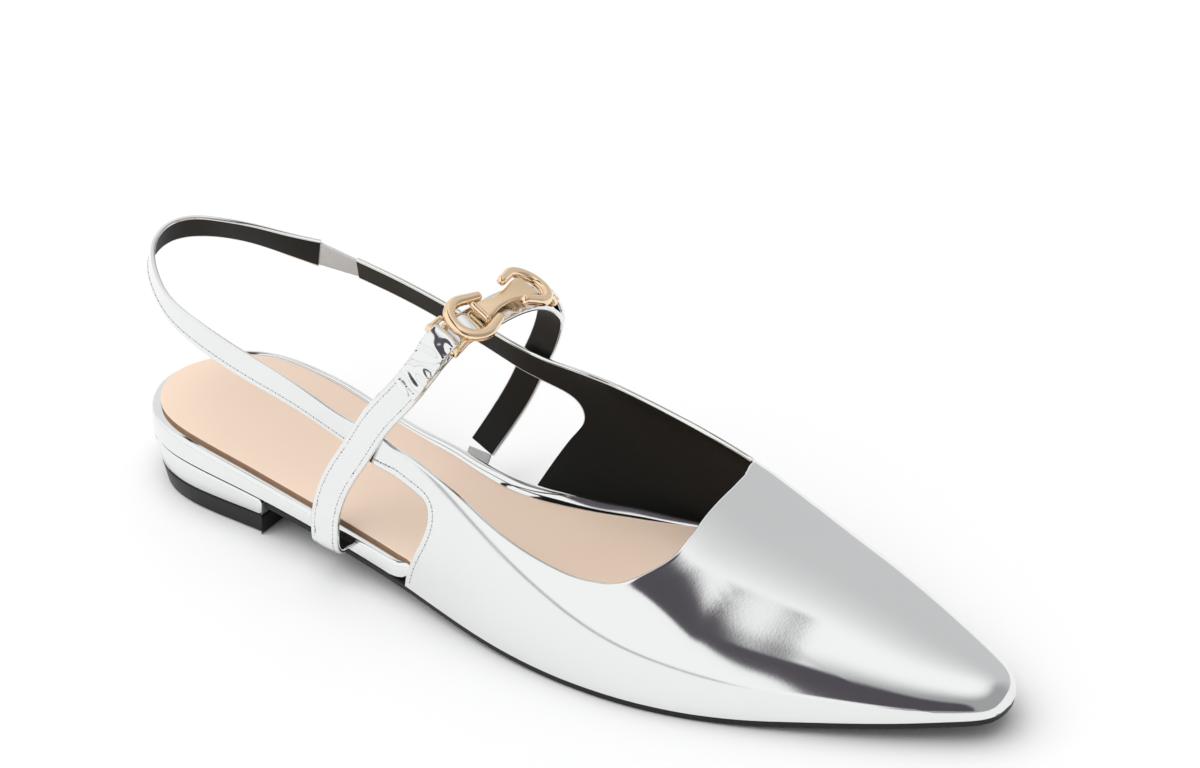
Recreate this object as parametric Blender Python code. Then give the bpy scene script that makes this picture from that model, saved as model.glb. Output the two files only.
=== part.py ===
"""Pointed slingback flat with an instep strap, for the right foot.

The shoe stands on its top lift and on the ball of its sole. +X runs to the toe, +Y to the
inner (medial) side of the foot and +Z up. Tables hold shares of the named sizes, one row
for each station along the sole.
"""
import bpy
import bmesh
import numpy as np
from mathutils import Vector

MM = 0.001

# Lengths along the sole
SOLE_LENGTH = 262.0 * MM
HEEL_LENGTH = 52.5 * MM
# Widths and heights of the last
BALL_WIDTH = 77.6 * MM
VAMP_HEIGHT = 36.6 * MM
HEEL_RISE = 12.0 * MM
TOE_SPRING = 5.8 * MM
# Thicknesses
OUTSOLE_THICK = 2.0 * MM
BOARD_THICK = 4.8 * MM
SEAT_THICK = 7.4 * MM
SOCK_THICK = 1.2 * MM
LIFT_THICK = 5.7 * MM
WALL = 1.3 * MM
# Edges
RIM_WIDTH = 2.6 * MM
RIM_ROUND = 1.4 * MM
EDGE_BEVEL = 0.5 * MM
OUTSOLE_INSET = 0.4 * MM
HEEL_SETBACK = 3.4 * MM
HEEL_TUCK = 0.7 * MM
# Where the seat thins to the waist, and the board to the toe
SEAT_START = 8.0 * MM
SEAT_END = 72.0 * MM
TOE_THINNING_LENGTH = 57.0 * MM
TOE_THINNING = 0.5
BOARD_SETBACK = 15.0 * MM
# Fits
CLEARANCE = 0.3 * MM
LASTING_FIT = 1.1 * MM

# Outline of the sole: station, lateral and medial half widths
OUTLINE = (
    (0.000, 0.000, 0.000), (0.011, 0.133, 0.140), (0.031, 0.221, 0.236), (0.061, 0.285, 0.304),
    (0.107, 0.320, 0.336), (0.172, 0.330, 0.335), (0.248, 0.345, 0.298), (0.324, 0.374, 0.267),
    (0.382, 0.403, 0.256), (0.439, 0.443, 0.278), (0.515, 0.494, 0.358), (0.592, 0.519, 0.438),
    (0.679, 0.505, 0.485), (0.763, 0.433, 0.450), (0.840, 0.331, 0.387), (0.916, 0.212, 0.292),
    (0.962, 0.124, 0.218), (0.989, 0.060, 0.153), (0.997, 0.018, 0.106), (1.000, -0.045, 0.045),
)
# Underside of the board: station, share of the heel rise, share of the toe spring
PROFILE = (
    (0.000, 1.000, 0.0), (0.060, 0.967, 0.0), (0.115, 0.908, 0.0), (0.170, 0.800, 0.0),
    (0.206, 0.717, 0.0), (0.248, 0.625, 0.0), (0.305, 0.508, 0.0), (0.382, 0.342, 0.0),
    (0.439, 0.217, 0.0), (0.496, 0.108, 0.0), (0.553, 0.033, 0.0), (0.603, 0.0, 0.0),
    (0.733, 0.0, 0.0), (0.782, 0.0, 0.086), (0.840, 0.0, 0.328), (0.935, 0.0, 0.707),
    (1.000, 0.0, 1.0),
)
# Sections of the last: station, crest height, crest offset, lateral and medial fullness, swell
SECTIONS = (
    (0.382, 1.656, 0.097, 2.7, 2.8, 0.187), (0.477, 1.451, 0.103, 2.8, 2.9, 0.155),
    (0.573, 1.219, 0.116, 2.7, 3.6, 0.054), (0.653, 1.000, 0.129, 2.6, 3.9, 0.010),
    (0.706, 0.874, 0.126, 2.6, 3.6, 0.0), (0.763, 0.754, 0.119, 2.5, 3.2, 0.0),
    (0.840, 0.566, 0.107, 2.4, 2.8, 0.0), (0.916, 0.355, 0.088, 2.35, 2.6, 0.0),
    (0.962, 0.246, 0.072, 2.2, 2.3, 0.0), (0.989, 0.168, 0.058, 2.1, 2.1, 0.0),
    (1.000, 0.000, 0.045, 2.0, 2.0, 0.0),
)
SWELL_REACH = 0.8
# Stations where the lateral and medial rear edges of the vamp meet the sole
LATERAL_FOOT = 0.398
MEDIAL_FOOT = 0.416
FOOT_EASE = 4.5 * MM
FOOT_MARGIN = 1.5 * MM
HEEL_CENTRE = 0.105
WALL_SAMPLES = 60
NORMAL_STEP = 0.004
OUTSOLE_STATIONS = 36
BOARD_STATIONS = 46
HEEL_STATIONS = 18
WELD = 0.002 * MM

# The upper's pattern: each row crosses it from its upper edge to its lower edge. An edge is a
# station and a turn, the share of the way from the crest (0) to the feather line (1 on the
# medial side, -1 on the lateral side).
PATTERN = (
    (0.397, 0.610, 0.397, 0.710), (0.420, 0.590, 0.420, 0.705), (0.443, 0.563, 0.439, 0.709),
    (0.470, 0.535, 0.451, 0.735), (0.498, 0.511, 0.456, 0.777), (0.525, 0.497, 0.453, 0.820),
    (0.552, 0.477, 0.443, 0.870), (0.576, 0.455, 0.429, 0.941), (0.597, 0.432, 0.416, 1.000),
    (0.613, 0.420, 0.462, 1.0), (0.626, 0.414, 0.523, 1.0), (0.638, 0.409, 0.588, 1.0),
    (0.648, 0.405, 0.649, 1.0), (0.656, 0.393, 0.702, 1.0), (0.661, 0.365, 0.748, 1.0),
    (0.665, 0.300, 0.809, 1.0), (0.667, 0.235, 0.874, 1.0), (0.669, 0.180, 0.927, 1.0),
    (0.671, 0.140, 0.966, 1.0), (0.672, 0.115, 0.989, 1.0), (0.673, 0.100, 1.000, 1.0),
    (0.674, 0.050, 1.000, 0.5), (0.675, 0.000, 1.000, 0.0), (0.676, -0.060, 1.000, -0.5),
    (0.677, -0.110, 1.000, -1.0), (0.678, -0.140, 0.989, -1.0), (0.679, -0.170, 0.966, -1.0),
    (0.679, -0.205, 0.927, -1.0), (0.679, -0.255, 0.874, -1.0), (0.677, -0.330, 0.809, -1.0),
    (0.669, -0.410, 0.748, -1.0), (0.658, -0.485, 0.702, -1.0), (0.644, -0.550, 0.656, -1.0),
    (0.627, -0.588, 0.603, -1.0), (0.605, -0.620, 0.542, -1.0), (0.577, -0.641, 0.481, -1.0),
    (0.549, -0.653, 0.431, -1.0), (0.524, -0.657, 0.398, -1.000), (0.500, -0.656, 0.407, -0.955),
    (0.483, -0.652, 0.421, -0.885), (0.462, -0.648, 0.429, -0.820), (0.440, -0.648, 0.429, -0.770),
    (0.420, -0.649, 0.420, -0.742), (0.401, -0.651, 0.402, -0.739), (0.382, -0.660, 0.382, -0.739),
)
PATTERN_CORNERS = (8, 20, 24, 37)
ROW_STEPS = 2
UPPER_COLUMNS = 10
COLUMN_CROWDING = 1.7
BAND_STEPS = 2

# Sling strap: shares of the sole length, ball width and strap height, and its outward lean
SLING_HEIGHT = 62.0 * MM
SLING_WIDTH = 7.9 * MM
SLING_MEDIAL = (
    (0.366, 0.399, 0.716, 0.30), (0.328, 0.399, 0.761, 0.35), (0.279, 0.397, 0.816, 0.40),
    (0.229, 0.389, 0.868, 0.42), (0.180, 0.379, 0.908, 0.42),
)
SLING_LATERAL = (
    (0.363, -0.364, 0.672, 0.08), (0.328, -0.359, 0.702, -0.12), (0.290, -0.351, 0.742, -0.20),
    (0.258, -0.346, 0.781, -0.17), (0.191, -0.333, 0.838, -0.07), (0.126, -0.312, 0.897, -0.06),
    (0.075, -0.260, 0.932, -0.08), (0.038, -0.180, 0.959, 0.02), (0.011, -0.097, 0.985, 0.16),
    (-0.005, -0.012, 1.009, 0.33), (-0.007, 0.072, 1.029, 0.43), (0.003, 0.158, 1.030, 0.47),
    (0.026, 0.234, 1.012, 0.52), (0.059, 0.292, 0.987, 0.46), (0.097, 0.331, 0.957, 0.30),
    (0.134, 0.357, 0.937, 0.07),
)
ELASTIC_THICK = 0.9 * MM
ELASTIC_NARROWING = 0.6 * MM

# Instep strap, from under the board over the instep, and the elastic that pulls it down on the
# medial side: shares of the sole length, of the ball width and of the height from the board's
# underside to the instep, and the dip of the strap's width towards the toe in degrees
INSTEP_HEIGHT = 76.6 * MM
STRAP_FOOT = 0.303
INSTEP_WIDTH = 7.8 * MM
INSTEP_THICK = 1.4 * MM
INSTEP_STRAP = (
    (0.303, -0.232, 0.0109, 5.6), (0.303, -0.296, 0.0109, 5.6), (0.303, -0.354, 0.0109, 5.6),
    (0.3032, -0.400, 0.0104, 5.6), (0.3035, -0.4235, 0.0402, 5.6), (0.3034, -0.4253, 0.0907, 6),
    (0.3032, -0.421, 0.1368, 8), (0.3055, -0.411, 0.2133, 12), (0.3185, -0.401, 0.3459, 20),
    (0.338, -0.388, 0.4774, 24), (0.3625, -0.375, 0.6392, 27), (0.3925, -0.348, 0.7932, 27),
    (0.406, -0.312, 0.8809, 27), (0.4135, -0.258, 0.9427, 27), (0.4185, -0.201, 0.9741, 27),
    (0.4235, -0.129, 0.9865, 26), (0.429, -0.039, 0.9944, 25), (0.434, 0.052, 0.9955, 25),
    (0.438, 0.124, 0.9820, 24), (0.4395, 0.183, 0.9550, 24), (0.4385, 0.236, 0.9123, 24),
    (0.4355, 0.287, 0.8595, 24), (0.4285, 0.339, 0.7943, 24), (0.413, 0.387, 0.6538, 22),
    (0.391, 0.424, 0.4897, 20), (0.3745, 0.425, 0.3459, 16), (0.357, 0.396, 0.2031, 10),
    (0.342, 0.335, 0.0756, 6),
)
INSTEP_ELASTIC = (
    (0.3402, 0.3270, 0.0593, 5.6), (0.3398, 0.319, 0.0424, 5.6), (0.3392, 0.311, 0.0256, 5.6),
    (0.3383, 0.299, 0.0087, 5.6), (0.3375, 0.279, -0.0037, 5.6), (0.337, 0.245, -0.0065, 5.6),
    (0.337, 0.195, -0.0065, 5.6),
)
STRAP_STEPS = 2
TUCK_DEPTH = 14.0 * MM

# Gold ornament: two horseshoe rings, each with a loop for the strap, and a link between them
RING_RADIUS = 5.9 * MM
RING_WRAP = 100.0
RING_STEPS = 15
RING_ARM = 7.6 * MM
RING_TIP = 3.9 * MM
RING_WIDTH = 3.1 * MM
TIP_WIDTH = 2.5 * MM
RING_HEIGHT = 2.6 * MM
ROD_SIDES = 10
LOOP_ROD = 1.6 * MM
# Loop: inward, across and up from the ring's centre, from the ring to the middle of its bar
LOOP = (
    (-6.5 * MM, -4.7 * MM, -1.1 * MM), (-8.4 * MM, -4.9 * MM, -2.2 * MM),
    (-9.5 * MM, -4.8 * MM, -2.9 * MM), (-9.9 * MM, -4.1 * MM, -3.1 * MM),
    (-9.9 * MM, 0.0, -3.1 * MM),
)
# Rings: centre in shares as for the strap, way to the crest along Y, pitch, yaw and dip in degrees
NEAR_RING = ((0.4279, -0.1289, 1.0279), 1, 1.2, 6.7, 24.6)
FAR_RING = ((0.4412, 0.1327, 1.0366), -1, 17.0, 1.4, 23.1)
# Link: where its ends lie inward of the rings' centres, and its half width along it
LINK_NEAR_SEAT = 4.3 * MM
LINK_FAR_SEAT = -0.3 * MM
LINK_THICK = 1.4 * MM
LINK_ARCH = 0.5 * MM
LINK_HALF_WIDTHS = (
    (0.00, 2.75 * MM), (0.07, 2.75 * MM), (0.20, 2.15 * MM), (0.38, 1.9 * MM), (0.54, 2.1 * MM),
    (0.70, 2.8 * MM), (0.86, 3.5 * MM), (1.00, 3.6 * MM),
)


def smooth(known, values, wanted):
    """Curve through the values by cubic spans, read at the wanted places."""
    known = np.asarray(known, float)
    values = np.asarray(values, float)
    slopes = np.gradient(values, known)
    wanted = np.clip(wanted, known[0], known[-1])
    span = np.clip(np.searchsorted(known, wanted, side="right") - 1, 0, len(known) - 2)
    length = known[span + 1] - known[span]
    u = (wanted - known[span]) / length
    start = values[span] * (1 + 2 * u) + slopes[span] * length * u
    end = values[span + 1] * (3 - 2 * u) + slopes[span + 1] * length * (u - 1)
    return start * (1 - u) ** 2 + end * u ** 2


def column(table, index):
    return np.array([row[index] for row in table])


def angle_of(share):
    """Angle that opens up both round ends of the sole."""
    return np.arccos(np.clip(1 - 2 * np.asarray(share, float), -1, 1))


def at_station(table, index, x):
    stations = angle_of(column(table, 0))
    return smooth(stations, column(table, index), angle_of(x / SOLE_LENGTH))


def edge(x, side):
    """Distance of the sole's edge from the centre line, signed by its side."""
    return side * BALL_WIDTH * at_station(OUTLINE, 1 if side < 0 else 2, x)


def board_bottom(x):
    heel = HEEL_RISE * np.maximum(0, at_station(PROFILE, 1, x))
    toe = TOE_SPRING * np.maximum(0, at_station(PROFILE, 2, x))
    return OUTSOLE_THICK + CLEARANCE + heel + toe


def last_point(x, turn):
    """Point on the outside of the upper."""
    x = np.asarray(x, float)
    medial = np.asarray(turn) > 0
    offset = BALL_WIDTH * at_station(SECTIONS, 2, x)
    fullness = np.where(medial, at_station(SECTIONS, 4, x), at_station(SECTIONS, 3, x))
    swell = BALL_WIDTH * at_station(SECTIONS, 5, x)
    angle = (1 - np.abs(turn)) * np.pi / 2
    level = np.sin(angle) ** (2 / fullness)
    reach = 1 - (1 - np.minimum(1, level / SWELL_REACH)) ** 2
    inner = edge(x, 1) - offset + swell * reach
    outer = offset - edge(x, -1)
    across = np.cos(angle) ** (2 / fullness) * np.where(medial, inner, -outer)
    height = VAMP_HEIGHT * at_station(SECTIONS, 1, x)
    return np.stack([x, offset + across, board_bottom(x) + height * level], -1)


def last_normal(x, turn):
    """Outward direction of the last's surface, from points a small step apart."""
    around = angle_of(np.asarray(x) / SOLE_LENGTH)
    nearby = [np.clip(around + step, 0, np.pi) for step in (-NORMAL_STEP, NORMAL_STEP)]
    behind, ahead = [last_point(SOLE_LENGTH * (1 - np.cos(a)) / 2, turn) for a in nearby]
    turns = [np.clip(turn + step, -1, 1) for step in (-NORMAL_STEP, NORMAL_STEP)]
    lateral, medial = [last_point(x, a) for a in turns]
    normals = np.cross(ahead - behind, medial - lateral)
    lengths = np.linalg.norm(normals, axis=-1)
    normals[lengths < 1e-14] = (1.0, 0.0, 0.0)
    return normals / np.linalg.norm(normals, axis=-1)[..., None]


def board_top(x):
    """The board is thick under the heel seat and thins out inside the toe."""
    seat = 1 - ease(x, SEAT_START, SEAT_END)
    toe = ease(x, SOLE_LENGTH - TOE_THINNING_LENGTH, SOLE_LENGTH)
    thick = BOARD_THICK + (SEAT_THICK - BOARD_THICK) * seat - BOARD_THICK * TOE_THINNING * toe
    return board_bottom(x) + thick


def ease(x, start, end):
    """Rise from 0 to 1 between two stations."""
    u = np.clip((np.asarray(x, float) - start) / (end - start), 0, 1)
    return u * u * (3 - 2 * u)


def wall_at(x, side, height):
    """Inside of the upper's wall at one height, measured across the shoe."""
    turns = side * np.linspace(1.0, 0.05, WALL_SAMPLES)
    inside = []
    for station, level in zip(np.atleast_1d(x), np.atleast_1d(height)):
        points = last_point(np.full(WALL_SAMPLES, station), turns)
        inside.append(np.interp(level, points[:, 2], points[:, 1]))
    return np.array(inside) - side * WALL


def sole_edge(x, side, top):
    """Edge of a layer: open at the heel and waist, inside the upper's wall further on."""
    foot = SOLE_LENGTH * (MEDIAL_FOOT if side > 0 else LATERAL_FOOT)
    covered = ease(x, foot - FOOT_EASE, foot - FOOT_MARGIN)
    within = np.minimum(side * edge(x, side), side * (wall_at(x, side, top) + side * WALL))
    return side * (within - covered * (WALL + LASTING_FIT))


def closed_ring(x, lateral, medial):
    """Points round an outline, lateral side first, with the shared end points once."""
    ring = [(a, b) for a, b in zip(x, lateral)]
    back = [(a, b) for a, b in zip(x, medial)]
    partner = list(range(len(x)))
    order = []
    for index in reversed(range(len(x))):
        if abs(medial[index] - lateral[index]) > CLEARANCE * 0.1:
            order.append(index)
    for place, index in enumerate(order):
        partner[index] = len(ring) + place
    return np.array(ring + [back[index] for index in order]), partner


def inset_ring(ring, distance):
    ahead = np.roll(ring, -1, axis=0) - np.roll(ring, 1, axis=0)
    inward = np.stack([-ahead[:, 1], ahead[:, 0]], -1)
    inward /= np.linalg.norm(inward, axis=1)[:, None]
    return ring + inward * distance


def link(mesh, name, colour, roughness, metallic, smooth_angle=0.6):
    for face in mesh.faces:
        face.smooth = True
    data = bpy.data.meshes.new(name)
    mesh.to_mesh(data)
    mesh.free()
    data.set_sharp_from_angle(angle=smooth_angle)
    item = bpy.data.objects.new(name, data)
    bpy.context.scene.collection.objects.link(item)
    material = bpy.data.materials.new(name)
    material.use_nodes = True
    shader = material.node_tree.nodes["Principled BSDF"]
    shader.inputs["Base Color"].default_value = (*colour, 1.0)
    shader.inputs["Roughness"].default_value = roughness
    shader.inputs["Metallic"].default_value = metallic
    data.materials.append(material)
    return item


def finish_mesh(mesh):
    bmesh.ops.remove_doubles(mesh, verts=mesh.verts, dist=WELD)
    bmesh.ops.dissolve_degenerate(mesh, edges=mesh.edges, dist=WELD)
    bmesh.ops.recalc_face_normals(mesh, faces=mesh.faces)
    return mesh


def layered(name, look, x, lateral, medial, levels):
    """Plate whose outline is stacked at several levels: an inset and a height for each."""
    ring, partner = closed_ring(x, lateral, medial)
    mesh = bmesh.new()
    loops = []
    for inset, height, setback in levels:
        distance = inset(ring)[:, None] if callable(inset) else inset
        points = inset_ring(ring, distance)
        along = points[:, 0] + setback * (1 - np.clip(points[:, 0] / HEEL_LENGTH, 0, 1))
        heights = height(points[:, 0])
        loops.append([mesh.verts.new(p) for p in zip(along, points[:, 1], heights)])
    count = len(ring)
    for lower, upper in zip(loops, loops[1:]):
        for i in range(count):
            j = (i + 1) % count
            mesh.faces.new((lower[i], lower[j], upper[j], upper[i]))
    for loop in (loops[0], loops[-1]):
        for i in range(len(x) - 1):
            corners = [loop[i], loop[i + 1], loop[partner[i + 1]], loop[partner[i]]]
            mesh.faces.new(list(dict.fromkeys(corners)))
    return link(finish_mesh(mesh), name, *look)


def grid_normals(grid):
    down = np.gradient(grid, axis=1)
    along = np.gradient(grid, axis=0)
    normals = np.cross(along, down)
    lengths = np.linalg.norm(normals, axis=2)
    normals[lengths < 1e-12] = (1.0, 0.0, 0.0)
    return normals / np.linalg.norm(normals, axis=2)[:, :, None]


def sheet(name, look, outside, inside):
    """Closed body between two grids of points."""
    mesh = bmesh.new()
    rows, columns = outside.shape[:2]
    front = [[mesh.verts.new(p) for p in row] for row in outside]
    back = [[mesh.verts.new(p) for p in row] for row in inside]
    for i in range(rows - 1):
        for j in range(columns - 1):
            for side in (front, back):
                corners = [side[i][j], side[i + 1][j], side[i + 1][j + 1], side[i][j + 1]]
                mesh.faces.new(corners)
    rim = [(i, 0) for i in range(rows)] + [(rows - 1, j) for j in range(1, columns)]
    rim += [(i, columns - 1) for i in reversed(range(rows - 1))]
    rim += [(0, j) for j in reversed(range(1, columns - 1))]
    for (i, j), (k, m) in zip(rim, rim[1:] + rim[:1]):
        mesh.faces.new((front[i][j], front[k][m], back[k][m], back[i][j]))
    return link(finish_mesh(mesh), name, *look)


def refine(values, corners, steps):
    """Add rows between the rows of a table, with a break in the curve at each corner."""
    places = np.arange(len(values))
    ends = [0, *corners, len(values) - 1]
    fine = []
    for start, end in zip(ends, ends[1:]):
        wanted = np.linspace(start, end, (end - start) * steps + 1)
        part = smooth(places[start:end + 1], values[start:end + 1], wanted)
        fine.extend(part[:-1])
    return np.array(fine + [values[-1]])


def vamp_grid():
    top_x = refine(column(PATTERN, 0), (), ROW_STEPS) * SOLE_LENGTH
    top_turn = refine(column(PATTERN, 1), (), ROW_STEPS)
    low_x = refine(column(PATTERN, 2), PATTERN_CORNERS, ROW_STEPS) * SOLE_LENGTH
    low_turn = refine(column(PATTERN, 3), PATTERN_CORNERS, ROW_STEPS)
    share = 1 - (1 - np.linspace(0, 1, UPPER_COLUMNS + 1)) ** COLUMN_CROWDING
    x = top_x[:, None] + (low_x - top_x)[:, None] * share
    turn = top_turn[:, None] + (low_turn - top_turn)[:, None] * share
    x = np.minimum(x, SOLE_LENGTH)
    return last_point(x, turn), last_normal(x, turn)


def band_grid(first_row, path, width, steps):
    """Rows along a strap that starts from a row of the vamp."""
    centres = [(first_row[0] + first_row[-1]) / 2]
    halves = [(first_row[0] - first_row[-1]) / 2]
    for x, y, z, lean in path:
        centres.append((x * SOLE_LENGTH, y * BALL_WIDTH, z * SLING_HEIGHT))
        halves.append((0.0, 0.0, 0.0))
    centres = np.array(centres)
    tangents = np.gradient(centres, axis=0)
    for index, (x, y, z, lean) in enumerate(path, 1):
        outward = np.cross(tangents[index], (0, 0, 1))
        outward /= np.linalg.norm(outward)
        inside = np.array((HEEL_CENTRE * SOLE_LENGTH, 0, centres[index][2]))
        if np.dot(outward, centres[index] - inside) < 0:
            outward = -outward
        across = np.array((0, 0, 1)) - lean * outward
        ahead = tangents[index] / np.linalg.norm(tangents[index])
        across -= ahead * np.dot(across, ahead)
        halves[index] = across / np.linalg.norm(across) * width / 2
    lengths = np.linalg.norm(np.diff(centres, axis=0), axis=1)
    places = np.concatenate([[0], np.cumsum(lengths)])
    rows = np.arange((len(places) - 1) * steps + 1) / steps
    wanted = np.interp(rows, np.arange(len(places)), places)
    middle = np.stack([smooth(places, centres[:, k], wanted) for k in range(3)], -1)
    half = np.stack([smooth(places, np.array(halves)[:, k], wanted) for k in range(3)], -1)
    share = np.linspace(1, -1, UPPER_COLUMNS + 1)
    return middle[:, None, :] + half[:, None, :] * share[None, :, None]


def upper_grids():
    vamp, outward = vamp_grid()
    medial = band_grid(vamp[0], SLING_MEDIAL, SLING_WIDTH, BAND_STEPS)
    lateral = band_grid(vamp[-1], SLING_LATERAL, SLING_WIDTH, BAND_STEPS)
    outside = np.concatenate([medial[:0:-1], vamp, lateral[1:]])
    normals = grid_normals(outside)
    start = len(medial) - 1
    normals[start:start + len(vamp)] = outward
    inside = outside - normals * WALL
    inside[..., 2] = np.maximum(inside[..., 2], board_bottom(inside[..., 0]))
    return outside, inside


SILVER = ((0.86, 0.86, 0.85), 0.12, 1.0)
BLACK_RUBBER = ((0.03, 0.03, 0.032), 0.55, 0.0)
SOCK_LINING = ((0.80, 0.64, 0.52), 0.6, 0.0)
ELASTIC_GREY = ((0.62, 0.62, 0.60), 0.8, 0.0)
GOLD = ((0.83, 0.62, 0.38), 0.2, 1.0)


def stations(start, end, count):
    """Stations that crowd towards the round ends of the sole."""
    angles = np.linspace(angle_of(start / SOLE_LENGTH), angle_of(end / SOLE_LENGTH), count)
    return SOLE_LENGTH * (1 - np.cos(angles)) / 2


def outsole_top(x):
    return board_bottom(x) - CLEARANCE


def outsole_bottom(x):
    return outsole_top(x) - OUTSOLE_THICK


def sock_bottom(x):
    return board_top(x) + CLEARANCE


def sock_top(x):
    return sock_bottom(x) + SOCK_THICK


def rim_inset(ring):
    """The sock leaves a rim of the board in view as far as the vamp."""
    foot = SOLE_LENGTH * np.where(ring[:, 1] > 0, MEDIAL_FOOT, LATERAL_FOOT)
    return RIM_WIDTH * (1 - ease(ring[:, 0], foot - FOOT_EASE, foot))


def lift_top(x):
    return np.full(np.shape(x), LIFT_THICK)


def setback_at(height):
    """How far the back of the heel has moved forward at a height above the floor."""
    return HEEL_SETBACK * (1 - height / board_bottom(0.0))


def make_outsole():
    x = stations(HEEL_LENGTH + CLEARANCE, SOLE_LENGTH, OUTSOLE_STATIONS)
    levels = (
        (OUTSOLE_INSET + EDGE_BEVEL, outsole_bottom, 0),
        (OUTSOLE_INSET, lambda at: outsole_bottom(at) + EDGE_BEVEL, 0),
        (OUTSOLE_INSET, outsole_top, 0),
    )
    return layered("outsole", BLACK_RUBBER, x, edge(x, -1), edge(x, 1), levels)


def make_board():
    x = stations(0, SOLE_LENGTH - BOARD_SETBACK, BOARD_STATIONS)
    lateral, medial = [sole_edge(x, side, board_top(x)) for side in (-1, 1)]
    levels = (
        (EDGE_BEVEL, board_bottom, 0),
        (0, lambda at: board_bottom(at) + EDGE_BEVEL, 0),
        (0, lambda at: board_top(at) - RIM_ROUND, 0),
        (RIM_ROUND * 0.35, lambda at: board_top(at) - RIM_ROUND * 0.25, 0),
        (RIM_ROUND, board_top, 0),
    )
    return layered("board", SILVER, x, lateral, medial, levels)


def make_sock():
    x = stations(0, SOLE_LENGTH - BOARD_SETBACK, BOARD_STATIONS)
    lateral, medial = [sole_edge(x, side, sock_top(x)) for side in (-1, 1)]
    levels = ((rim_inset, sock_bottom, 0), (rim_inset, sock_top, 0))
    return layered("footbed_sock", SOCK_LINING, x, lateral, medial, levels)


def make_heel():
    x = stations(0, HEEL_LENGTH, HEEL_STATIONS)
    top_of_lift = LIFT_THICK + CLEARANCE
    levels = (
        (HEEL_TUCK * 0.6, lambda at: np.full(np.shape(at), top_of_lift), setback_at(top_of_lift)),
        (0, lambda at: board_bottom(at) - CLEARANCE, 0),
    )
    return layered("heel_block", SILVER, x, edge(x, -1), edge(x, 1), levels)


def make_lift():
    x = stations(0, HEEL_LENGTH, HEEL_STATIONS)
    levels = (
        (HEEL_TUCK + EDGE_BEVEL, lambda at: np.zeros(np.shape(at)), HEEL_SETBACK),
        (HEEL_TUCK, lambda at: np.full(np.shape(at), EDGE_BEVEL), HEEL_SETBACK),
        (HEEL_TUCK * 0.6, lift_top, setback_at(LIFT_THICK)),
    )
    return layered("top_lift", BLACK_RUBBER, x, edge(x, -1), edge(x, 1), levels)


def make_upper():
    return sheet("upper", SILVER, *upper_grids())


def make_sling_elastic():
    """Bridge between the two ends of the sling, a little narrower and thinner than it."""
    outside, inside = upper_grids()
    toe_end = outside[0], inside[0]
    heel_end = outside[-1], inside[-1]
    span = np.linalg.norm((heel_end[0] - toe_end[0]).mean(axis=0))
    shares = np.linspace(CLEARANCE / span, 1 - CLEARANCE / span, BAND_STEPS * 2 + 1)
    rows = [[a + (b - a) * share for a, b in zip(toe_end, heel_end)] for share in shares]
    front, back = [np.array(side) for side in zip(*rows)]
    depth = (front - back) * (1 - ELASTIC_THICK / WALL) / 2
    middle = (front + back).mean(axis=1, keepdims=True) / 2
    width = 1 - 2 * ELASTIC_NARROWING / SLING_WIDTH
    faces = [middle + (side - middle) * (1, 1, width) for side in (front - depth, back + depth)]
    return sheet("sling_elastic", ELASTIC_GREY, *faces)


def unit(vectors):
    return vectors / np.linalg.norm(vectors, axis=-1, keepdims=True)


def over_instep(shares):
    """Place on the strap or the ornament, from its shares."""
    base = board_bottom(SOLE_LENGTH * STRAP_FOOT)
    rise = (0.0, 0.0, base)
    return np.asarray(shares, float) * (SOLE_LENGTH, BALL_WIDTH, INSTEP_HEIGHT - base) + rise


def strap_faces(path, width, thick):
    """Outer and inner face of a strap, from its mid-line and the dip of its width."""
    path = np.array(path)
    knots = over_instep(path[:, :3])
    lengths = np.linalg.norm(np.diff(knots, axis=0), axis=1)
    places = np.concatenate([[0], np.cumsum(lengths)])
    rows = np.arange((len(places) - 1) * STRAP_STEPS + 1) / STRAP_STEPS
    wanted = np.interp(rows, np.arange(len(places)), places)
    middle = np.stack([smooth(places, knots[:, k], wanted) for k in range(3)], -1)
    dip = np.radians(smooth(places, path[:, 3], wanted))
    ahead = unit(np.gradient(middle, axis=0))
    across = np.stack([np.cos(dip), np.zeros(len(dip)), -np.sin(dip)], -1)
    across = unit(across - ahead * (ahead * across).sum(axis=1, keepdims=True))
    outward = np.cross(across, ahead)[:, None, :]
    offsets = np.array((-0.5, 0.0, 0.5))[None, :, None] * width
    centre = middle[:, None, :] + across[:, None, :] * offsets
    return centre + outward * thick / 2, centre - outward * thick / 2


def make_instep_strap():
    return sheet("instep_strap", SILVER, *strap_faces(INSTEP_STRAP, INSTEP_WIDTH, INSTEP_THICK))


def make_instep_elastic():
    width = INSTEP_WIDTH - 2 * ELASTIC_NARROWING
    return sheet("instep_elastic", ELASTIC_GREY, *strap_faces(INSTEP_ELASTIC, width, ELASTIC_THICK))


def cut_tuck(board, name, path, thick, side):
    """Notch in the underside of the board for the end of a strap."""
    x, y, z, dip = path[0] if side < 0 else path[-1]
    centre = over_instep((x, y, z))
    half = INSTEP_WIDTH / 2 + CLEARANCE
    slope = np.tan(np.radians(dip))
    mesh = bmesh.new()
    bmesh.ops.create_cube(mesh, size=1.0)
    for vertex in mesh.verts:
        across = vertex.co.x * 2 * half
        out = side * TUCK_DEPTH * (vertex.co.y + 0.5) * 2 - side * CLEARANCE
        above = thick / 2 + CLEARANCE if vertex.co.z > 0 else -BOARD_THICK
        vertex.co = Vector(centre + (across, out, above - across * slope))
    mesh.normal_update()
    bmesh.ops.recalc_face_normals(mesh, faces=mesh.faces)
    cutter = link(mesh, name, *SILVER)
    cutter.hide_render = True
    cutter.display_type = "WIRE"
    cut = board.modifiers.new(name, "BOOLEAN")
    cut.operation = "DIFFERENCE"
    cut.solver = "EXACT"
    cut.object = cutter
    return cutter


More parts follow.
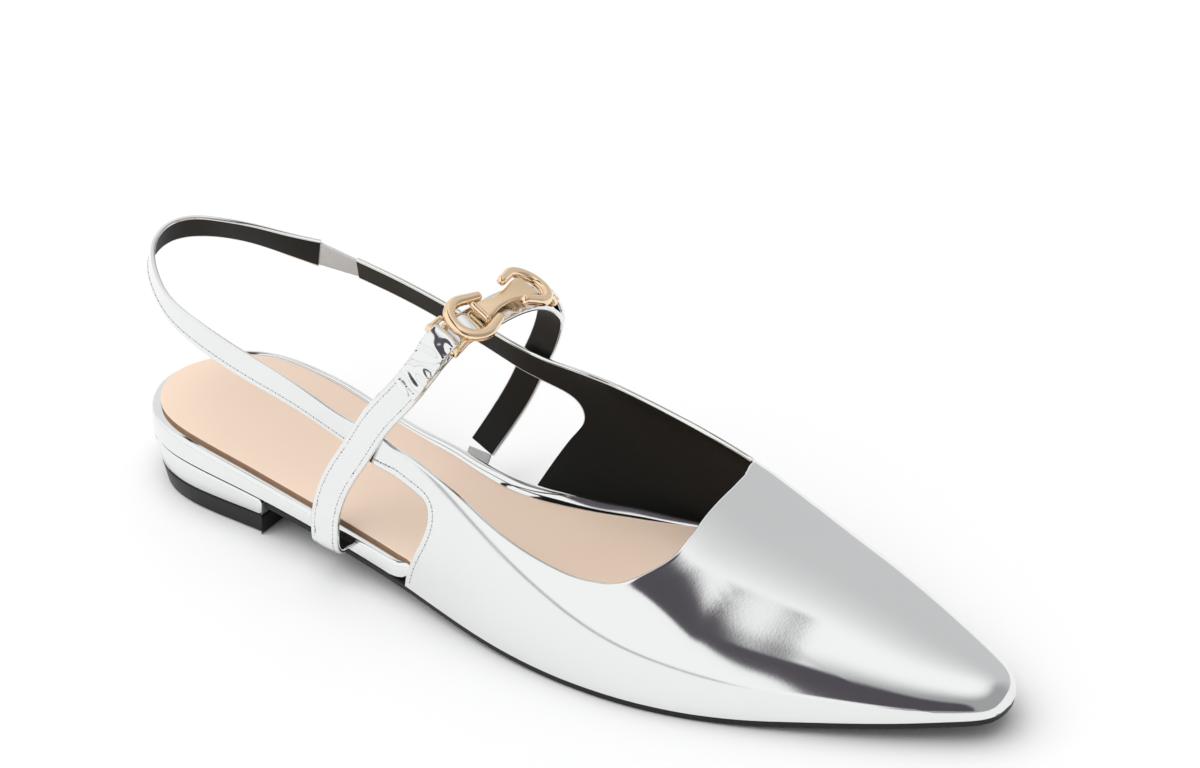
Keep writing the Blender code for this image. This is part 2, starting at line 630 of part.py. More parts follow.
def rod(name, path, up, widths, height):
    """Gold rod with an oval section along a path."""
    path = np.array(path)
    ahead = unit(np.gradient(path, axis=0))
    across = unit(np.cross(ahead, up))
    top = np.cross(across, ahead)
    turns = np.linspace(0, 2 * np.pi, ROD_SIDES, endpoint=False)
    mesh = bmesh.new()
    loops = []
    for point, side, lift, width in zip(path, across, top, widths):
        ring = [point + side * np.cos(a) * width / 2 + lift * np.sin(a) * height / 2 for a in turns]
        loops.append([mesh.verts.new(p) for p in ring])
    for lower, upper in zip(loops, loops[1:]):
        for i in range(ROD_SIDES):
            j = (i + 1) % ROD_SIDES
            mesh.faces.new((lower[i], lower[j], upper[j], upper[i]))
    mesh.faces.new(loops[0])
    mesh.faces.new(loops[-1])
    return link(finish_mesh(mesh), name, *GOLD)


def ring_frame(ring):
    """Centre of a ring and its directions: inward to the crest, across to the toe, and up."""
    shares, way, pitch, yaw, dip = ring
    centre = over_instep(shares)
    pitch, yaw, dip = np.radians((pitch, yaw, dip))
    inward = np.array((np.sin(yaw) * np.cos(pitch), way * np.cos(yaw) * np.cos(pitch), np.sin(pitch)))
    across = np.array((np.cos(dip), 0.0, -np.sin(dip)))
    across = unit(across - inward * np.dot(inward, across))
    return centre, inward, across, way * np.cross(across, inward)


def make_ring(name, ring):
    centre, inward, across, up = ring_frame(ring)
    bend = np.radians(np.linspace(-RING_WRAP, RING_WRAP, RING_STEPS))
    arc = np.stack([-RING_RADIUS * np.cos(bend), RING_RADIUS * np.sin(bend)], -1)
    tip = np.array((RING_ARM, RING_TIP))
    arm = [arc[-1] + (tip - arc[-1]) * share for share in (0.25, 0.5, 0.75, 1.0)]
    flat = np.array([point * (1, -1) for point in reversed(arm)] + list(arc) + arm)
    taper = np.clip(flat[:, 0] / RING_ARM, 0, 1)
    widths = RING_WIDTH + (TIP_WIDTH - RING_WIDTH) * taper
    path = centre + flat[:, :1] * inward + flat[:, 1:] * across
    return rod(name, path, up, widths, RING_HEIGHT)


def make_loop(name, ring):
    centre, inward, across, up = ring_frame(ring)
    half = np.array(LOOP)
    flat = np.concatenate([half, half[-2::-1] * (1, -1, 1)])
    path = centre + flat[:, :1] * inward + flat[:, 1:2] * across + flat[:, 2:] * up
    return rod(name, path, up, [LOOP_ROD] * len(path), LOOP_ROD)


def make_link():
    near = ring_frame(NEAR_RING)
    far = ring_frame(FAR_RING)
    start = near[0] + near[1] * LINK_NEAR_SEAT
    end = far[0] + far[1] * LINK_FAR_SEAT
    shares = column(LINK_HALF_WIDTHS, 0)[:, None]
    across = unit(near[2] + (far[2] - near[2]) * shares)
    up = unit(near[3] + (far[3] - near[3]) * shares)
    middle = start + (end - start) * shares + up * LINK_ARCH * 4 * shares * (1 - shares)
    halves = column(LINK_HALF_WIDTHS, 1)[:, None, None]
    rows = middle[:, None, :] + across[:, None, :] * halves * np.array((-1, 0, 1))[None, :, None]
    lift = up[:, None, :] * LINK_THICK / 2
    return sheet("link_plate", GOLD, rows + lift, rows - lift)


def stand_on_origin(items, helpers):
    """Move the whole shoe so that the middle of its footprint box is the origin."""
    corners = np.array([v.co for item in items for v in item.data.vertices])
    low = corners.min(axis=0)
    high = corners.max(axis=0)
    shift = np.array(((low[0] + high[0]) / 2, (low[1] + high[1]) / 2, low[2]))
    for item in [*items, *helpers]:
        for vertex in item.data.vertices:
            vertex.co -= Vector(shift)


for leftover in list(bpy.data.objects):
    bpy.data.objects.remove(leftover)

board = make_board()
shoe = [make_outsole(), board, make_sock(), make_heel(), make_lift(), make_upper()]
shoe += [make_sling_elastic(), make_instep_strap(), make_instep_elastic()]
shoe += [make_ring("near_ring", NEAR_RING), make_ring("far_ring", FAR_RING), make_link()]
shoe += [make_loop("near_loop", NEAR_RING), make_loop("far_loop", FAR_RING)]
notches = [
    cut_tuck(board, "strap_notch", INSTEP_STRAP, INSTEP_THICK, -1),
    cut_tuck(board, "elastic_notch", INSTEP_ELASTIC, ELASTIC_THICK, 1),
]
stand_on_origin(shoe, notches)
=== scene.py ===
"""Pointed slingback flat in mirror silver with a gold link ornament, dressed round its solids.

Lengths are in metres. The tables hold shares of the named sizes, one row for each station along
the sole, which starts at the back of the heel and runs to the toe along +X, with +Y to the inner
side of the foot.
"""

import bmesh
import bpy
import numpy as np
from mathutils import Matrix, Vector


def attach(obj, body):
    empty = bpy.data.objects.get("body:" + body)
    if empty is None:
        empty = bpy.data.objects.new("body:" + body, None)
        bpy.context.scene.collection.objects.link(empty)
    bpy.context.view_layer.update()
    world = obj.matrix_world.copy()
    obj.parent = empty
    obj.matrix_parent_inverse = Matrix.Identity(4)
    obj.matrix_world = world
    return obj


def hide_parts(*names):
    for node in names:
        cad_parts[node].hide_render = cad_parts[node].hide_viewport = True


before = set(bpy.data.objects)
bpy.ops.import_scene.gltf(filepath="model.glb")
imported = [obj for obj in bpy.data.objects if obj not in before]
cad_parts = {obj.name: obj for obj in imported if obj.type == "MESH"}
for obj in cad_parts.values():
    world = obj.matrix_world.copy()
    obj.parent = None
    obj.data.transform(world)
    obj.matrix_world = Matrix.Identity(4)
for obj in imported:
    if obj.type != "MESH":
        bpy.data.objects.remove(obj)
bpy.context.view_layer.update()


# Outsole: one sheet of black rubber, 2 mm thick, cut to the sole's outline and cemented under
# the upper. Its edge shows as a thin black line from the breast of the heel to the toe.
MM = 0.001
HEEL_BACK = np.array((-129.299, 1.313, 0.0)) * MM
SOLE_LENGTH = 262.0 * MM
BALL_WIDTH = 77.6 * MM
HEEL_RISE = 12.0 * MM
TOE_SPRING = 5.8 * MM
HEEL_LENGTH = 52.5 * MM
OUTSOLE_THICK = 2.0 * MM
OUTSOLE_INSET = 0.4 * MM
OUTSOLE_BEVEL = 0.5 * MM
OUTSOLE_ROUND = 0.2 * MM
CLEARANCE = 0.3 * MM
OUTLINE = (
    (0.000, 0.000, 0.000), (0.011, 0.133, 0.140), (0.031, 0.221, 0.236), (0.061, 0.285, 0.304),
    (0.107, 0.320, 0.336), (0.172, 0.330, 0.335), (0.248, 0.345, 0.298), (0.324, 0.374, 0.267),
    (0.382, 0.403, 0.256), (0.439, 0.443, 0.278), (0.515, 0.494, 0.358), (0.592, 0.519, 0.438),
    (0.679, 0.505, 0.485), (0.763, 0.433, 0.450), (0.840, 0.331, 0.387), (0.916, 0.212, 0.292),
    (0.962, 0.124, 0.218), (0.989, 0.060, 0.153), (0.997, 0.018, 0.106), (1.000, -0.045, 0.045),
)
PROFILE = (
    (0.000, 1.000, 0.0), (0.060, 0.967, 0.0), (0.115, 0.908, 0.0), (0.170, 0.800, 0.0),
    (0.206, 0.717, 0.0), (0.248, 0.625, 0.0), (0.305, 0.508, 0.0), (0.382, 0.342, 0.0),
    (0.439, 0.217, 0.0), (0.496, 0.108, 0.0), (0.553, 0.033, 0.0), (0.603, 0.0, 0.0),
    (0.733, 0.0, 0.0), (0.782, 0.0, 0.086), (0.840, 0.0, 0.328), (0.935, 0.0, 0.707),
    (1.000, 0.0, 1.0),
)
RUBBER_BLACK = (0.012, 0.012, 0.013)
RUBBER_ROUGHNESS = 0.42
SOLE_STATIONS = 150
MERGE = 0.002 * MM
SHARP = 0.7
MASK_RANGE = (0.3, 0.7)


def column(table, index):
    return np.array([row[index] for row in table])


def bent(known, values, wanted):
    """Curve through the values that is free to turn at each of them."""
    known = np.asarray(known, float)
    values = np.asarray(values, float)
    slopes = np.gradient(values, known)
    wanted = np.clip(wanted, known[0], known[-1])
    span = np.clip(np.searchsorted(known, wanted, side="right") - 1, 0, len(known) - 2)
    length = known[span + 1] - known[span]
    u = (wanted - known[span]) / length
    start = values[span] * (1 + 2 * u) + slopes[span] * length * u
    end = values[span + 1] * (3 - 2 * u) + slopes[span + 1] * length * (u - 1)
    return start * (1 - u) ** 2 + end * u ** 2


def fair(known, values, wanted):
    """Curve through the values whose bend changes evenly, as a wooden batten's does."""
    known = np.asarray(known, float)
    values = np.asarray(values, float)
    gaps = np.diff(known)
    system = np.eye(len(known))
    pull = np.zeros(len(known))
    for i in range(1, len(known) - 1):
        system[i, i - 1:i + 2] = gaps[i - 1], 2 * (gaps[i - 1] + gaps[i]), gaps[i]
        rise = (values[i + 1] - values[i]) / gaps[i] - (values[i] - values[i - 1]) / gaps[i - 1]
        pull[i] = 6 * rise
    bend = np.linalg.solve(system, pull)
    wanted = np.clip(wanted, known[0], known[-1])
    k = np.clip(np.searchsorted(known, wanted, side="right") - 1, 0, len(known) - 2)
    ahead = wanted - known[k]
    left = known[k + 1] - wanted
    curved = (bend[k] * left ** 3 + bend[k + 1] * ahead ** 3) / (6 * gaps[k])
    first = (values[k] / gaps[k] - bend[k] * gaps[k] / 6) * left
    second = (values[k + 1] / gaps[k] - bend[k + 1] * gaps[k] / 6) * ahead
    return curved + first + second


def run_along(points):
    """Distance along a line at each of its points."""
    return np.concatenate([[0], np.cumsum(np.linalg.norm(np.diff(points, axis=0), axis=1))])


def fair_line(places, points, wanted, curve=fair):
    """Points of a smooth line at the wanted distances along it."""
    return np.stack([curve(places, points[:, k], wanted) for k in range(points.shape[1])], -1)


def ease(x, start, end):
    u = np.clip((np.asarray(x, float) - start) / (end - start), 0, 1)
    return u * u * (3 - 2 * u)


def angle_of(share):
    """Angle that opens up both round ends of the sole."""
    return np.arccos(np.clip(1 - 2 * np.asarray(share, float), -1, 1))


def at_station(table, index, x, curve=fair):
    places = angle_of(column(table, 0))
    return curve(places, column(table, index), angle_of(x / SOLE_LENGTH))


def edge(x, side):
    return side * BALL_WIDTH * at_station(OUTLINE, 1 if side < 0 else 2, x)


def board_bottom(x):
    heel = HEEL_RISE * np.maximum(0, at_station(PROFILE, 1, x, bent))
    toe = TOE_SPRING * np.maximum(0, at_station(PROFILE, 2, x, bent))
    return OUTSOLE_THICK + CLEARANCE + heel + toe


def under_board(depth):
    return lambda x: board_bottom(x) - CLEARANCE - depth


def stations(start, end, count):
    angles = np.linspace(angle_of(start / SOLE_LENGTH), angle_of(end / SOLE_LENGTH), count)
    return SOLE_LENGTH * (1 - np.cos(angles)) / 2


def inset_ring(ring, distance):
    ahead = np.roll(ring, -1, axis=0) - np.roll(ring, 1, axis=0)
    inward = np.stack([-ahead[:, 1], ahead[:, 0]], -1)
    inward /= np.linalg.norm(inward, axis=1)[:, None]
    return ring + inward * distance


def plate(name, x, lateral, medial, levels, looks):
    """Layer of the bottom: its outline is stacked at several levels, each with its own look."""
    order = [i for i in reversed(range(len(x))) if abs(medial[i] - lateral[i]) > CLEARANCE * 0.1]
    partner = list(range(len(x)))
    for place, index in enumerate(order):
        partner[index] = len(x) + place
    ring = np.array([*zip(x, lateral), *[(x[i], medial[i]) for i in order]])
    mesh = bmesh.new()
    loops = []
    for inset, height, setback in levels:
        distance = inset(ring)[:, None] if callable(inset) else inset
        points = inset_ring(ring, distance)
        along = points[:, 0] + setback * (1 - np.clip(points[:, 0] / HEEL_LENGTH, 0, 1))
        level = np.stack([along, points[:, 1], height(points[:, 0])], -1) + HEEL_BACK
        loops.append([mesh.verts.new(p) for p in level])
    for step, (lower, upper) in enumerate(zip(loops, loops[1:])):
        for i in range(len(ring)):
            j = (i + 1) % len(ring)
            side = mesh.faces.new((lower[i], lower[j], upper[j], upper[i]))
            side.material_index = looks[step]
    for loop, look in ((loops[0], looks[0]), (loops[-1], looks[-1])):
        for i in range(len(x) - 1):
            corners = [loop[i], loop[i + 1], loop[partner[i + 1]], loop[partner[i]]]
            cap = mesh.faces.new(list(dict.fromkeys(corners)))
            cap.material_index = look
    return finish_mesh(mesh, name)


def finish_mesh(mesh, name, sharp=SHARP):
    """Close the seams, turn the faces outwards and put the mesh in the scene."""
    bmesh.ops.remove_doubles(mesh, verts=mesh.verts, dist=MERGE)
    bmesh.ops.dissolve_degenerate(mesh, edges=mesh.edges, dist=MERGE)
    bmesh.ops.recalc_face_normals(mesh, faces=mesh.faces)
    for face in mesh.faces:
        face.smooth = True
    data = bpy.data.meshes.new(name)
    mesh.to_mesh(data)
    mesh.free()
    data.set_sharp_from_angle(angle=sharp)
    piece = bpy.data.objects.new(name, data)
    bpy.context.scene.collection.objects.link(piece)
    return piece


def fit(piece, node, slot_name, *materials):
    """The piece takes its materials and the place of its solid."""
    for material in materials:
        piece.data.materials.append(material)
    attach(piece, "root")
    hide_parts(node)


def grain_group():
    """Fine pebbling of a surface: its height, and a slow mask from place to place."""
    group = bpy.data.node_groups.new("surface grain", "ShaderNodeTree")
    sides = (("Fine", "INPUT"), ("Slow", "INPUT"), ("Height", "OUTPUT"), ("Mask", "OUTPUT"))
    for name, side in sides:
        group.interface.new_socket(name, in_out=side, socket_type="NodeSocketFloat")
    nodes = group.nodes
    entry = nodes.new("NodeGroupInput")
    leave = nodes.new("NodeGroupOutput")
    place = nodes.new("ShaderNodeTexCoord")
    for scale, result, detail in (("Fine", "Height", 3.0), ("Slow", "Mask", 2.0)):
        noise = nodes.new("ShaderNodeTexNoise")
        noise.inputs["Detail"].default_value = detail
        group.links.new(place.outputs["Object"], noise.inputs["Vector"])
        group.links.new(entry.outputs[scale], noise.inputs["Scale"])
        group.links.new(noise.outputs["Fac"], leave.inputs[result])
    return group


GRAIN = grain_group()


def new_material(name, roughness):
    material = bpy.data.materials.new(name)
    material.use_nodes = True
    shader = material.node_tree.nodes["Principled BSDF"]
    shader.inputs["Roughness"].default_value = roughness
    return material, material.node_tree, shader


def lay_over(tree, below, above, mask):
    """Lay a colour over another where the mask is. The lower colour may be a socket."""
    mix = tree.nodes.new("ShaderNodeMix")
    mix.data_type = "RGBA"
    if isinstance(below, tuple):
        mix.inputs["A"].default_value = (*below, 1.0)
    else:
        tree.links.new(below, mix.inputs["A"])
    mix.inputs["B"].default_value = (*above, 1.0)
    tree.links.new(mask, mix.inputs["Factor"])
    return mix.outputs["Result"]


def emboss(tree, shader, height, depth):
    bump = tree.nodes.new("ShaderNodeBump")
    bump.inputs["Distance"].default_value = depth
    tree.links.new(height, bump.inputs["Height"])
    tree.links.new(bump.outputs["Normal"], shader.inputs["Normal"])


def surface(name, colour, roughness, metallic, fine, slow, depth, shade=0, spread=0, sheen=0.5):
    """Material with grain: depth is the grain's height, shade and spread vary colour and gloss."""
    material, tree, shader = new_material(name, roughness)
    shader.inputs["Base Color"].default_value = (*colour, 1.0)
    shader.inputs["Metallic"].default_value = metallic
    shader.inputs["Specular IOR Level"].default_value = sheen
    grain = tree.nodes.new("ShaderNodeGroup")
    grain.node_tree = GRAIN
    grain.inputs["Fine"].default_value = fine
    grain.inputs["Slow"].default_value = slow
    emboss(tree, shader, grain.outputs["Height"], depth)
    if shade:
        dark = tuple(c * (1 - shade) for c in colour)
        light = tuple(min(1.0, c * (1 + shade)) for c in colour)
        shaded = lay_over(tree, dark, light, grain.outputs["Mask"])
        tree.links.new(shaded, shader.inputs["Base Color"])
    if spread:
        gloss = tree.nodes.new("ShaderNodeMapRange")
        ends = (*MASK_RANGE, roughness - spread, roughness + spread)
        for socket, value in zip(("From Min", "From Max", "To Min", "To Max"), ends):
            gloss.inputs[socket].default_value = value
        tree.links.new(grain.outputs["Mask"], gloss.inputs["Value"])
        tree.links.new(gloss.outputs["Result"], shader.inputs["Roughness"])
    return material


rubber = surface(
    "black rubber", RUBBER_BLACK, RUBBER_ROUGHNESS, 0.0, 2600, 60, 0.00004, 0.2, 0.08, 0.3,
)
sole_x = stations(HEEL_LENGTH + CLEARANCE, SOLE_LENGTH, SOLE_STATIONS)
sole_levels = (
    (OUTSOLE_INSET + OUTSOLE_BEVEL, under_board(OUTSOLE_THICK), 0),
    (OUTSOLE_INSET, under_board(OUTSOLE_THICK - OUTSOLE_BEVEL), 0),
    (OUTSOLE_INSET, under_board(OUTSOLE_ROUND), 0),
    (OUTSOLE_INSET + OUTSOLE_ROUND, under_board(0), 0),
)
outsole = plate("rubber_outsole", sole_x, edge(sole_x, -1), edge(sole_x, 1), sole_levels, (0, 0, 0))
fit(outsole, "outsole", "rubber_black", rubber)


# Insole board: a stiff board that is wrapped in the silver leather, so that a rounded rim of it
# shows round the sock from the heel to the vamp. It is thicker under the heel seat.
BOARD_THICK = 4.8 * MM
SEAT_THICK = 7.4 * MM
SEAT_START = 8.0 * MM
SEAT_END = 72.0 * MM
TOE_THINNING_START = 205.0 * MM
TOE_THINNING = 0.5
BOARD_END = 247.0 * MM
RIM_ROUND = 1.4 * MM
RIM_PROFILE = ((0, 1), (0.12, 0.52), (0.35, 0.22), (0.65, 0.06), (1, 0))
BOARD_CROWN = 0.1 * MM
WALL = 1.3 * MM
LASTING_FIT = 1.1 * MM
LATERAL_FOOT = 0.398
MEDIAL_FOOT = 0.416
FOOT_EASE = 4.5 * MM
FOOT_MARGIN = 1.5 * MM
VAMP_HEIGHT = 36.6 * MM
SECTIONS = (
    (0.382, 1.656, 0.097, 2.7, 2.8, 0.187), (0.477, 1.451, 0.103, 2.8, 2.9, 0.155),
    (0.573, 1.219, 0.116, 2.7, 3.6, 0.054), (0.653, 1.000, 0.129, 2.6, 3.9, 0.010),
    (0.706, 0.874, 0.126, 2.6, 3.6, 0.0), (0.763, 0.754, 0.119, 2.5, 3.2, 0.0),
    (0.840, 0.566, 0.107, 2.4, 2.8, 0.0), (0.916, 0.355, 0.088, 2.35, 2.6, 0.0),
    (0.962, 0.246, 0.072, 2.2, 2.3, 0.0), (0.989, 0.168, 0.058, 2.1, 2.1, 0.0),
    (1.000, 0.000, 0.045, 2.0, 2.0, 0.0),
)
SWELL_REACH = 0.8
WALL_SAMPLES = 80
WALL_TOP_TURN = 0.05
SILVER = (0.835, 0.845, 0.84)
SILVER_ROUGHNESS = 0.08


def last_point(x, turn):
    """Outside of the vamp: turn runs from the crest, 0, to the feather line, 1 or -1."""
    x = np.asarray(x, float)
    medial = np.asarray(turn) > 0
    offset = BALL_WIDTH * at_station(SECTIONS, 2, x)
    fullness = np.where(medial, at_station(SECTIONS, 4, x), at_station(SECTIONS, 3, x))
    swell = BALL_WIDTH * np.maximum(0, at_station(SECTIONS, 5, x))
    angle = (1 - np.abs(turn)) * np.pi / 2
    level = np.sin(angle) ** (2 / fullness)
    reach = 1 - (1 - np.minimum(1, level / SWELL_REACH)) ** 2
    inner = edge(x, 1) - offset + swell * reach
    outer = offset - edge(x, -1)
    across = np.cos(angle) ** (2 / fullness) * np.where(medial, inner, -outer)
    height = VAMP_HEIGHT * np.maximum(0, at_station(SECTIONS, 1, x))
    return np.stack([x, offset + across, board_bottom(x) + height * level], -1)


def board_top(x):
    seat = 1 - ease(x, SEAT_START, SEAT_END)
    toe = ease(x, TOE_THINNING_START, SOLE_LENGTH)
    thick = BOARD_THICK + (SEAT_THICK - BOARD_THICK) * seat - BOARD_THICK * TOE_THINNING * toe
    return board_bottom(x) + thick


def on_board(rise):
    return lambda x: board_top(x) + rise


def wall_at(x, side, height):
    """Where the inside of the upper's wall is at a height."""
    turns = side * np.linspace(1.0, WALL_TOP_TURN, WALL_SAMPLES)
    inside = []
    for station, level in zip(np.atleast_1d(x), np.atleast_1d(height)):
        points = last_point(np.full(WALL_SAMPLES, station), turns)
        inside.append(np.interp(level, points[:, 2], points[:, 1]))
    return np.array(inside)


def sole_edge(x, side, top):
    """Edge of a layer: open at the heel and waist, inside the upper's wall further on."""
    foot = SOLE_LENGTH * (MEDIAL_FOOT if side > 0 else LATERAL_FOOT)
    covered = ease(x, foot - FOOT_EASE, foot - FOOT_MARGIN)
    within = np.minimum(side * edge(x, side), side * wall_at(x, side, top))
    return side * (within - covered * (WALL + LASTING_FIT))


silver = surface(
    "mirror silver leather", SILVER, SILVER_ROUGHNESS, 1.0, 1500, 45, 0.0000025, 0.02, 0.02,
)
board_x = stations(0, BOARD_END, SOLE_STATIONS)
board_levels = [
    (OUTSOLE_BEVEL, board_bottom, 0),
    (0, lambda x: board_bottom(x) + OUTSOLE_BEVEL, 0),
    (-BOARD_CROWN, lambda x: (board_bottom(x) + board_top(x)) / 2, 0),
]
for inset, depth in RIM_PROFILE:
    board_levels.append((RIM_ROUND * inset, on_board(-RIM_ROUND * depth), 0))
board_sides = [sole_edge(board_x, side, board_top(board_x)) for side in (-1, 1)]
board = plate("silver_board", board_x, *board_sides, board_levels, (0,) * 7)
fit(board, "board", "mirror_silver", silver)


# Footbed sock: thin beige lining leather, cemented on the board inside the silver rim. Its cut
# edge is raw and brown.
SOCK_THICK = 1.2 * MM
SOCK_GLUE = 0.02 * MM
RIM_WIDTH = 2.6 * MM
SOCK_BEIGE = (0.90, 0.70, 0.555)
RAW_EDGE = (0.30, 0.17, 0.10)


def rim_inset(ring):
    foot = SOLE_LENGTH * np.where(ring[:, 1] > 0, MEDIAL_FOOT, LATERAL_FOOT)
    return RIM_WIDTH * (1 - ease(ring[:, 0], foot - FOOT_EASE, foot))


sock_leather = surface("beige sock leather", SOCK_BEIGE, 0.55, 0.0, 1800, 30, 0.00003, 0.035, 0.05)
raw_edge = surface("raw brown edge", RAW_EDGE, 0.7, 0.0, 3000, 200, 0.00005, 0.2)
sock_top = board_top(board_x) + CLEARANCE + SOCK_THICK
sock_levels = (
    (rim_inset, on_board(SOCK_GLUE), 0),
    (rim_inset, on_board(CLEARANCE + SOCK_THICK * 0.75), 0),
    (lambda ring: rim_inset(ring) + 0.15 * MM, on_board(CLEARANCE + SOCK_THICK * 0.95), 0),
    (lambda ring: rim_inset(ring) + 0.5 * MM, on_board(CLEARANCE + SOCK_THICK), 0),
)
sock_sides = [sole_edge(board_x, side, sock_top) for side in (-1, 1)]
sock = plate("beige_sock", board_x, *sock_sides, sock_levels, (1, 0, 0))
fit(sock, "footbed_sock", "sock_lining", sock_leather, raw_edge)


# Inner rim: on the inner side of the foot the silver cover is lasted over a cord, so that a full,
# slightly puckered roll of it stands above the sock from the heel to the vamp.
RIM_ROLL = (
    (0.020, 1.1 * MM, 1.3 * MM), (0.100, 1.3 * MM, 1.7 * MM), (0.220, 1.5 * MM, 2.2 * MM),
    (0.320, 2.0 * MM, 3.1 * MM), (0.400, 2.5 * MM, 3.9 * MM), (0.460, 2.6 * MM, 4.1 * MM),
    (0.520, 2.2 * MM, 3.6 * MM), (0.590, 1.5 * MM, 2.4 * MM), (0.640, 0.7 * MM, 1.0 * MM),
)
ROLL_TURNS_IN = 85.0 * MM
ROLL_POINTS = 150
ROLL_WAVE = 0.03
ROLL_WAVE_LENGTH = 3.1 * MM
ROLL_SIDES = 24
ROLL_SET_IN = 0.9


def unit(vectors):
    return vectors / np.maximum(np.linalg.norm(vectors, axis=-1, keepdims=True), 1e-12)


def square_to(vectors, ahead):
    """The vectors, leaned until they are square to the way ahead, and made one long."""
    return unit(vectors - ahead * (ahead * vectors).sum(axis=-1, keepdims=True))


def loft(name, rings, looks=None, sharp=SHARP):
    """Skin over closed cross-sections. Its UV map gives metres along and around them."""
    rings = np.asarray(rings) + HEEL_BACK
    count, size = rings.shape[:2]
    run = run_along(rings.mean(axis=1))
    middle = rings[count // 2]
    girth = run_along(np.concatenate([middle, middle[:1]]))
    mesh = bmesh.new()
    uv = mesh.loops.layers.uv.new("UVMap")
    verts = [[mesh.verts.new(p) for p in ring] for ring in rings]
    for i in range(count - 1):
        for j in range(size):
            k = (j + 1) % size
            face = mesh.faces.new((verts[i][j], verts[i][k], verts[i + 1][k], verts[i + 1][j]))
            face.material_index = looks[j] if looks else 0
            spots = ((i, j), (i, j + 1), (i + 1, j + 1), (i + 1, j))
            for corner, (a, b) in zip(face.loops, spots):
                corner[uv].uv = (run[a], girth[b])
    mesh.faces.new(verts[0])
    mesh.faces.new(verts[-1])
    return finish_mesh(mesh, name, sharp)


roll_share = np.linspace(RIM_ROLL[0][0], RIM_ROLL[-1][0], ROLL_POINTS)
roll_x = roll_share * SOLE_LENGTH
roll_half = fair(column(RIM_ROLL, 0), column(RIM_ROLL, 1), roll_share)
roll_high = fair(column(RIM_ROLL, 0), column(RIM_ROLL, 2), roll_share)
roll_within = (WALL + LASTING_FIT) * ease(roll_x, ROLL_TURNS_IN, MEDIAL_FOOT * SOLE_LENGTH)
roll_wall = np.minimum(edge(roll_x, 1), wall_at(roll_x, 1, board_top(roll_x)))
roll_y = roll_wall - roll_within
roll_path = np.stack([roll_x, roll_y, board_top(roll_x)], -1)
roll_out = unit(np.cross(np.gradient(roll_path, axis=0), (0.0, 0.0, 1.0))) * (-1, -1, 0)
turns = np.linspace(0, 2 * np.pi, ROLL_SIDES, endpoint=False)
roll_rings = []
for i in range(ROLL_POINTS):
    swell = 1 + ROLL_WAVE * np.sin(roll_x[i] / ROLL_WAVE_LENGTH) * np.sin(turns)
    centre = roll_path[i] - roll_out[i] * roll_half[i] * ROLL_SET_IN
    sides = roll_out[i] * np.cos(turns)[:, None] * roll_half[i]
    up = np.where(np.sin(turns) > 0, roll_high[i], RIM_ROUND)
    lift = (np.sin(turns) * swell * up)[:, None] * np.array((0.0, 0.0, 1.0))
    roll_rings.append(centre + sides + lift)
rim_roll = loft("silver_inner_rim", roll_rings)
fit(rim_roll, "board", "mirror_silver", silver)


# Heel: a low block covered in the silver leather, set back under the seat, with a thin seam
# between it and the board.
HEEL_SETBACK = 3.4 * MM
HEEL_TUCK = 0.7 * MM
LIFT_TUCK = HEEL_TUCK * 0.6
BLOCK_ROUND = 0.25 * MM
BLOCK_EDGE = 0.3 * MM
SEAM_ROUND = 0.45 * MM
LIFT_THICK = 5.7 * MM
HEEL_STATIONS = 90


def setback_at(height):
    return HEEL_SETBACK * (1 - height / board_bottom(0.0))


def level_at(height):
    return lambda x: np.full(np.shape(x), height)


heel_x = stations(0, HEEL_LENGTH, HEEL_STATIONS)
block_low = LIFT_THICK + CLEARANCE
block_edge = block_low + BLOCK_EDGE
block_middle = (block_low + board_bottom(0.0)) / 2
block_levels = (
    (LIFT_TUCK + BLOCK_ROUND, level_at(block_low), setback_at(block_low)),
    (LIFT_TUCK, level_at(block_edge), setback_at(block_edge)),
    (LIFT_TUCK / 2, lambda x: (block_low + board_bottom(x)) / 2, setback_at(block_middle)),
    (0, under_board(SEAM_ROUND), setback_at(board_bottom(0.0) - HEEL_TUCK)),
    (SEAM_ROUND, under_board(0), 0),
)
heel = plate("silver_heel", heel_x, edge(heel_x, -1), edge(heel_x, 1), block_levels, (0,) * 4)
fit(heel, "heel_block", "mirror_silver", silver)


# Top lift: a block of black rubber, cemented and nailed under the heel. It is what stands on the
# floor at the back.
lift_levels = (
    (HEEL_TUCK + OUTSOLE_BEVEL, level_at(0.0), HEEL_SETBACK),
    (HEEL_TUCK, level_at(OUTSOLE_BEVEL), HEEL_SETBACK),
    (LIFT_TUCK, level_at(LIFT_THICK - BLOCK_ROUND), setback_at(LIFT_THICK)),
    (LIFT_TUCK + BLOCK_ROUND, level_at(LIFT_THICK), setback_at(LIFT_THICK)),
)
lift = plate("rubber_lift", heel_x, edge(heel_x, -1), edge(heel_x, 1), lift_levels, (0,) * 3)
fit(lift, "top_lift", "rubber_black", rubber)


